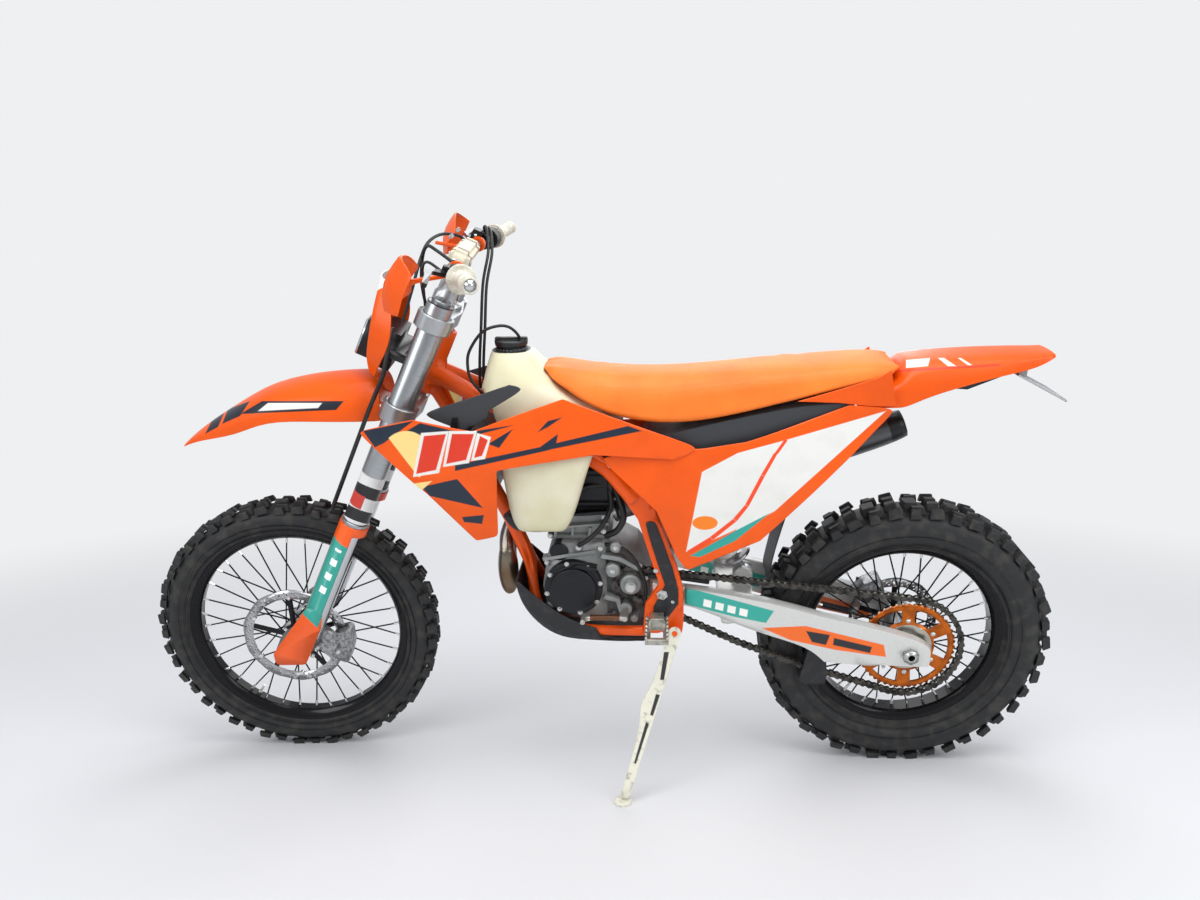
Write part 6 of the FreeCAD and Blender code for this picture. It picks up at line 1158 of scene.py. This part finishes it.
hoses = [
    line([(-34, -30, 690), (-30, -50, 720), (0, -60, 740), (40, -52, 742), (70, -40, 760)], 5.5),
    line([(-95, -60, 640), (-128, -74, 646), (-160, -92, 660), (-178, -100, 690)], 12, 14),
    line([(-90, 40, 690), (-130, 56, 720), (-165, 84, 760), (-178, 100, 790)], 12, 14),
    line([(42, -66, 620), (70, -80, 640), (86, -84, 676), (74, -66, 716), (60, -50, 748)], 7.5, 12),
    line([(40, -70, 600), (86, -92, 596), (116, -96, 560), (134, -94, 500), (130, -90, 450)], 4.5),
    line([(-20, -92, 606), (8, -98, 628), (34, -86, 652), (56, -66, 690), (54, -60, 730)], 5.5),
]
piece("engine_hoses", placed(joined(hoses), bike), "chassis", hose_finish, 60)

# Intake: an alloy throttle body on a rubber boot, its second boot running back to the black airbox, which closes the
# space under the seat and behind the side panels.
intake_finish = Finish("throttle body and boots", "6d7072", 0.4, 0.6)
x, y, z = intake_finish.read(bike)
rubber = (x > 128) | (x < 72)
grit = intake_finish.noise(300.0, 3.0)
intake_finish.set(Base_Color=intake_finish.mixed(rubber, "75787a", "161617"), Metallic=0.6 - rubber * 0.6,
                  Roughness=grit * 0.25 + 0.32)
intake_finish.bump(grit * 0.4 + (x * 0.9).wave() * rubber, 0.0008, 0.5)
moulded("throttle_body_and_boots", "intake", bike, "chassis", intake_finish, crease=50)
clamp_bands = []
slant = Vector((150, 0, 45)).to_track_quat("Y", "Z").to_matrix().to_4x4()
for x, z in ((62, 658), (192, 697)):
    ring = lathed([(27.5, -4), (29, -4), (29, 4), (27.5, 4)], 40)
    clamp_bands.append(placed(ring, Matrix.Translation((x, 0, z)) @ slant))
piece("boot_bands", placed(joined(clamp_bands), bike), "chassis", bolt_finish)
moulded("airbox_shell", "airbox", bike, "chassis", charcoal, crease=40)

# Radiators: brazed alloy cores, one behind each shroud, with a tank at the top and the foot and fine fins between.
radiator_finish = Finish("radiator alloy", "9c9e9f", 0.42, 0.8)
x, y, z = radiator_finish.read(bike)
fins = (z * 2.6).wave()
core = (z > 690) * (z < 890)
radiator_finish.set(Base_Color=radiator_finish.mixed(core * fins.ramp(-0.2, 0.6), "2b2d2f", "a6a8a9"),
                    Roughness=radiator_finish.noise(160.0, 3.0) * 0.2 + 0.34)
radiator_finish.bump(fins * core + (x * 1.4).wave() * core * 0.4, 0.0012, 0.7)
recast("radiator_cores", "radiators", bike, "chassis", radiator_finish, 2.0)

# Exhaust: a titanium header browned by heat that swells into a chamber beside the front tube, and a brushed alloy
# silencer with a black end cap, riveted and banded.
header_finish = Finish("heated header", "6b655a", 0.3, 0.95)
x, y, z = header_finish.read(bike)
heat = header_finish.noise(7.0, 4.0)
near_port = ((z - 500) / 170).ramp(0.0, 1.0)
browned = header_finish.mixed(heat.ramp(0.35, 0.65), "86806f", "6a4d35")
header_finish.set(Base_Color=header_finish.mixed(near_port, browned, "4f4252"), Roughness=heat * 0.2 + 0.2)
header_finish.grained(500.0, 2.0, 0.0001, 0.4)
moulded("header_pipe", "exhaust_header", bike, "chassis", header_finish, crease=60)
can_finish = Finish("brushed silencer alloy", "b4b6b7", 0.34, 0.9)
x, y, z = can_finish.read(bike)
end_cap = (x * 0.948 + z * 0.318) > 931
brushed = can_finish.noise(1.0, 5.0, can_finish.spot(bike, (0.08, 2.0, 2.0)))
can_finish.set(Base_Color=can_finish.mixed(end_cap, "5b5d5f", "1a1b1c"), Metallic=0.9 - end_cap * 0.6,
               Roughness=brushed * 0.3 + 0.22)
can_finish.bump(brushed, 0.0001, 0.5)
moulded("silencer_can", "silencer", bike, "chassis", can_finish, crease=48)

# Swingarm: forged and welded alloy, its two legs tapering to the axle blocks, with film graphics on each flank, and
# black plastic guides that keep the chain off it.
arm_finish = Finish("swingarm alloy", "d5d6d2", 0.34, 0.35)
seen_at = arm_finish.view_spot(bike)
satin = arm_finish.noise(1.0, 5.0, arm_finish.spot(bike, (0.3, 1.2, 1.2)))
teal_film = arm_finish.patches(seen_at, [[(685, 588), (700, 591), (774, 611), (766, 623), (735, 617), (685, 604)]])
film_marks = arm_finish.patches(seen_at, [
    [(704, 599), (712, 601), (711, 608), (703, 606)], [(716, 602), (724, 604), (723, 611), (715, 609)],
    [(728, 605), (736, 607), (735, 614), (727, 612)], [(740, 608), (748, 610), (747, 617), (739, 615)],
])
orange_film = arm_finish.patches(seen_at, [[(762, 628), (806, 626), (884, 645), (886, 657), (836, 650), (790, 640)]])
dark_film = arm_finish.patches(seen_at, [
    [(806, 631), (830, 635), (826, 645), (812, 642)], [(834, 638), (872, 647), (870, 653), (833, 645)],
])
color = arm_finish.mixed(satin.ramp(0.3, 0.7), "d9dad6", "cdcecb")
for film, shade in ((teal_film, "2fa596"), (film_marks, "eff0ea"), (orange_film, "ef6a1c"), (dark_film, "1e2128")):
    color = arm_finish.mixed(film, color, shade)
films = teal_film | orange_film
arm_finish.set(Base_Color=color, Metallic=0.35 - films * 0.35, Roughness=satin * 0.2 + 0.24)
arm_finish.bump(satin, 0.0001, 0.4)
moulded("swingarm_forging", "swingarm", bike, "chassis", arm_finish, crease=40)
moulded("chain_guide_blocks", "chain_guides", bike, "chassis", guard_black, crease=40)
rows = [((x, hand * y, z), (0, hand, 0), size, high) for hand in (-1, 1) for x, y, z, size, high in (
    (172, 124, 500, 13, 7), (786, 100, 330, 5, 5), (700, 100, 352, 5, 5))]
rows += [((x, -89, z), (0, -1, 0), 3.6, 4) for x, z in ((676, 320), (692, 292), (656, 300))]
bolted("swingarm_bolts", bike, "chassis", rows)

# Chain: a roller chain of 15.9 mm pitch, its dark plates in pairs by turns inside and outside, on bright rollers and
# pins. It runs straight above and hangs slack below.


def loop_tree():
    """Geometry Nodes: two kinds of link by turns along a closed loop."""
    tree, add, given = new_tree("links along a loop", Loop="Geometry", Links="Int", Inner_Link="Object",
                                Outer_Link="Object", Finish="Material")
    curve = add("GeometryNodeMeshToCurve", {}, {"Mesh": given["Loop"]})[0]
    spots = add("GeometryNodeCurveToPoints", {}, {"Curve": curve, "Count": given["Links"]})
    aim = add("FunctionNodeAlignRotationToVector", {"axis": "X", "pivot_axis": "Y"}, {"Vector": spots["Tangent"]})[0]
    index = add("GeometryNodeInputIndex", {}, {})[0]
    odd = add("ShaderNodeMath", {"operation": "FLOORED_MODULO"}, {0: index, 1: 2})[0]
    even = add("ShaderNodeMath", {"operation": "SUBTRACT"}, {0: 1, 1: odd})[0]
    both = tree.nodes.new("GeometryNodeJoinGeometry")
    for name, share in (("Inner_Link", odd), ("Outer_Link", even)):
        shape = add("GeometryNodeObjectInfo", {}, {"Object": given[name]})["Geometry"]
        copies = add("GeometryNodeInstanceOnPoints", {}, {
            "Points": spots["Points"], "Selection": share, "Instance": shape, "Rotation": aim})[0]
        tree.links.new(copies, both.inputs[0])
    finished(add, both.outputs[0], given["Finish"])
    return tree


chain_finish = Finish("chain steel", "4c4640", 0.34, 0.9)
x, y, z = chain_finish.read(bike)
oiled = chain_finish.noise(60.0, 5.0)
CHAIN_Y, pitch = -76, 15.875
rollers = abs(y - CHAIN_Y) < 4.6
plates = chain_finish.mixed(oiled.ramp(0.35, 0.7), "55534f", "2b2a29")
chain_finish.set(Base_Color=chain_finish.mixed(rollers, plates, "a8a59c"), Roughness=oiled * 0.3 + 0.24)
chain_finish.bump(oiled, 0.0002, 0.4)
rear_at, rear_reach, front_at, front_reach = (743.5, 340), 125.5, (99, 507), 34.3
apart = Vector((front_at[0] - rear_at[0], front_at[1] - rear_at[1]))
facing, spread = math.atan2(apart.y, apart.x), math.acos((rear_reach - front_reach) / apart.length)
top, low = facing - spread, facing + spread - 2 * math.pi


def arc(middle, reach, start, end, steps):
    """Pairs of x and z along an arc, in equal steps from a start angle to an end angle."""
    turns = [start + (end - start) * i / steps for i in range(steps + 1)]
    return [(middle[0] + reach * math.cos(turn), middle[1] + reach * math.sin(turn)) for turn in turns]


track = arc(rear_at, rear_reach, top, low, 40)
front_arc = arc(front_at, front_reach, low + 2 * math.pi, top, 16)
start, end = track[-1], front_arc[0]
for share, drop in ((0.3, 0.8), (0.55, 0.95), (0.8, 0.3)):
    track.append((start[0] + (end[0] - start[0]) * share, start[1] + (end[1] - start[1]) * share - 20 * drop))
track += front_arc
loop = bmesh.new()
spots = [loop.verts.new((x, CHAIN_Y, z)) for x, z in track]
for a, b in zip(spots, spots[1:] + spots[:1]):
    loop.edges.new((a, b))
length = sum((Vector(b) - Vector(a)).length for a, b in zip(track, track[1:] + track[:1]))
waist = [(-5.6, -3), (-3, -5.8), (0, -6.4), (3.2, -5.6), (7.9, -4.2), (12.7, -5.6), (15.9, -6.4), (19, -5.8),
         (21.5, -3)]
waist += [(x, -z) for x, z in waist[::-1]]
links = []
for kind, near, far, radius, half, sides in (
    ("inner_link", 4.8, 6.4, 4.9, 4.8, 10), ("outer_link", 6.9, 8.5, 2.4, 9, 8),
):
    parts = [plate(waist, -far, -near, 0.3), plate(waist, near, far, 0.3)]
    parts += [shaft_cover(x, 0, [(radius, -half), (radius, half)], sides) for x in (0, pitch)]
    mesh = bpy.data.meshes.new(kind)
    form = joined(parts)
    form.to_mesh(mesh)
    form.free()
    links.append(bpy.data.objects.new(kind, mesh))
chain_form = grown(loop_tree(), loop, Links=2 * round(length / pitch / 2), Inner_Link=links[0], Outer_Link=links[1],
                   Finish=chain_finish.material)
for made in links:
    bpy.data.objects.remove(made)
piece("roller_chain", placed(chain_form, bike), "chassis", chain_finish, 35, ["drive_chain"])

# Rear sprocket: a milled alloy ring anodised orange-bronze, with windows between its arms, bolted to the hub.
sprocket_finish = Finish("anodised sprocket", "b8601f", 0.3, 0.8)
x, y, z = sprocket_finish.read(rear_wheel)
reach = (x * x + z * z) ** 0.5
turned = (reach * 2.2).wave()
wear = sprocket_finish.noise(40.0, 4.0)
bare = (reach > 112) | (reach < 58)
color = sprocket_finish.mixed(wear.ramp(0.35, 0.7), "c2641c", "9a4a14")
sprocket_finish.set(Base_Color=sprocket_finish.mixed(bare, color, "b3b1a6"), Roughness=wear * 0.2 + 0.2)
sprocket_finish.bump(turned, 0.0001, 0.4)
recast("sprocket_ring", "rear_sprocket", rear_wheel, "rear_wheel", sprocket_finish, 0.5, angle=50)
turns = [math.radians(turn * 60 + 30) for turn in range(6)]
bolted("sprocket_bolts", rear_wheel, "rear_wheel", [
    ((68 * math.cos(a), -78.5, 68 * math.sin(a)), (0, -1, 0), 4.6, 4) for a in turns])

# Shock: a damper with silver eyes and a red ring, inside a white coil spring held between two bright seats.
shock_finish = Finish("damper body", "b9babb", 0.28, 0.9)
along = shock_finish.along(shock_finish.spot(bike), Vector((-157, 0, 247)).normalized())
shock_finish.worn(90.0, 0.2, 0.4)
collar = (along > 395) * (along < 425)
shock_finish.set(Base_Color=shock_finish.mixed(collar, "b2b4b5", "c3261d"))
moulded("shock_damper", "shock_absorber", bike, "chassis", shock_finish, crease=50)
spring_finish = Finish("spring paint", "e6e6e1", 0.3, Coat_Weight=0.4, Coat_Roughness=0.12).worn(70.0, 0.24, 0.4)
moulded("coil_spring", "shock_spring", bike, "chassis", spring_finish, crease=70)

# Side stand: a forged alloy leg painted cream white, cut out along its length to save weight, on a pin under the left
# footpeg, with a broad foot.
stand_finish = Finish("side stand paint", "d8d6c3", 0.42)
seen_at = stand_finish.view_spot(bike)
cuts = stand_finish.patches(seen_at, [
    [(664, 652), (669, 652), (664, 680), (660, 680)], [(656, 694), (660, 695), (653, 716), (650, 715)],
    [(646, 722), (649, 724), (636, 764), (634, 763)],
])
chips = stand_finish.noise(70.0, 6.0)
cream = stand_finish.mixed(chips.ramp(0.5, 0.75), "dedccb", "aaa797")
stand_finish.set(Base_Color=stand_finish.mixed(cuts, cream, "2a2b2c"), Roughness=chips * 0.3 + 0.28)
stand_finish.bump(chips * 0.4 - cuts, 0.0012, 0.6)
moulded("side_stand_leg", "side_stand", bike, "side_stand", stand_finish, crease=45)

# Footpegs and foot controls: cast steel pegs with teeth, a bronze-coloured gear lever with a bright folding tip on the
# left and the brake pedal on the right.
peg_finish = Finish("cast steel pegs", "a9a89f", 0.42, 0.85)
muddy = peg_finish.noise(45.0, 5.0)
peg_finish.set(Base_Color=peg_finish.mixed(muddy.ramp(0.4, 0.7), "b4b3aa", "7c786c"),
               Roughness=muddy * 0.3 + 0.3)
peg_finish.bump(muddy, 0.0004, 0.5)
recast("footpeg_castings", "footpegs", bike, "chassis", peg_finish, 0.8)
lever_finish = Finish("gear lever and pedal", "7d5a44", 0.34, 0.8)
x, y, z = lever_finish.read(bike)
tip = (x < 6) | (x > 74) * (y < 0)
polished = lever_finish.noise(80.0, 4.0)
lever_finish.set(Base_Color=lever_finish.mixed(tip, "6f4d38", "b7b5ae"), Roughness=polished * 0.25 + 0.22)
lever_finish.bump(polished, 0.0002, 0.4)
moulded("foot_levers", "foot_controls", bike, "chassis", lever_finish, crease=55)


size = {"cad": cad_box, "visual": [list(corner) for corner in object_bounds()]}
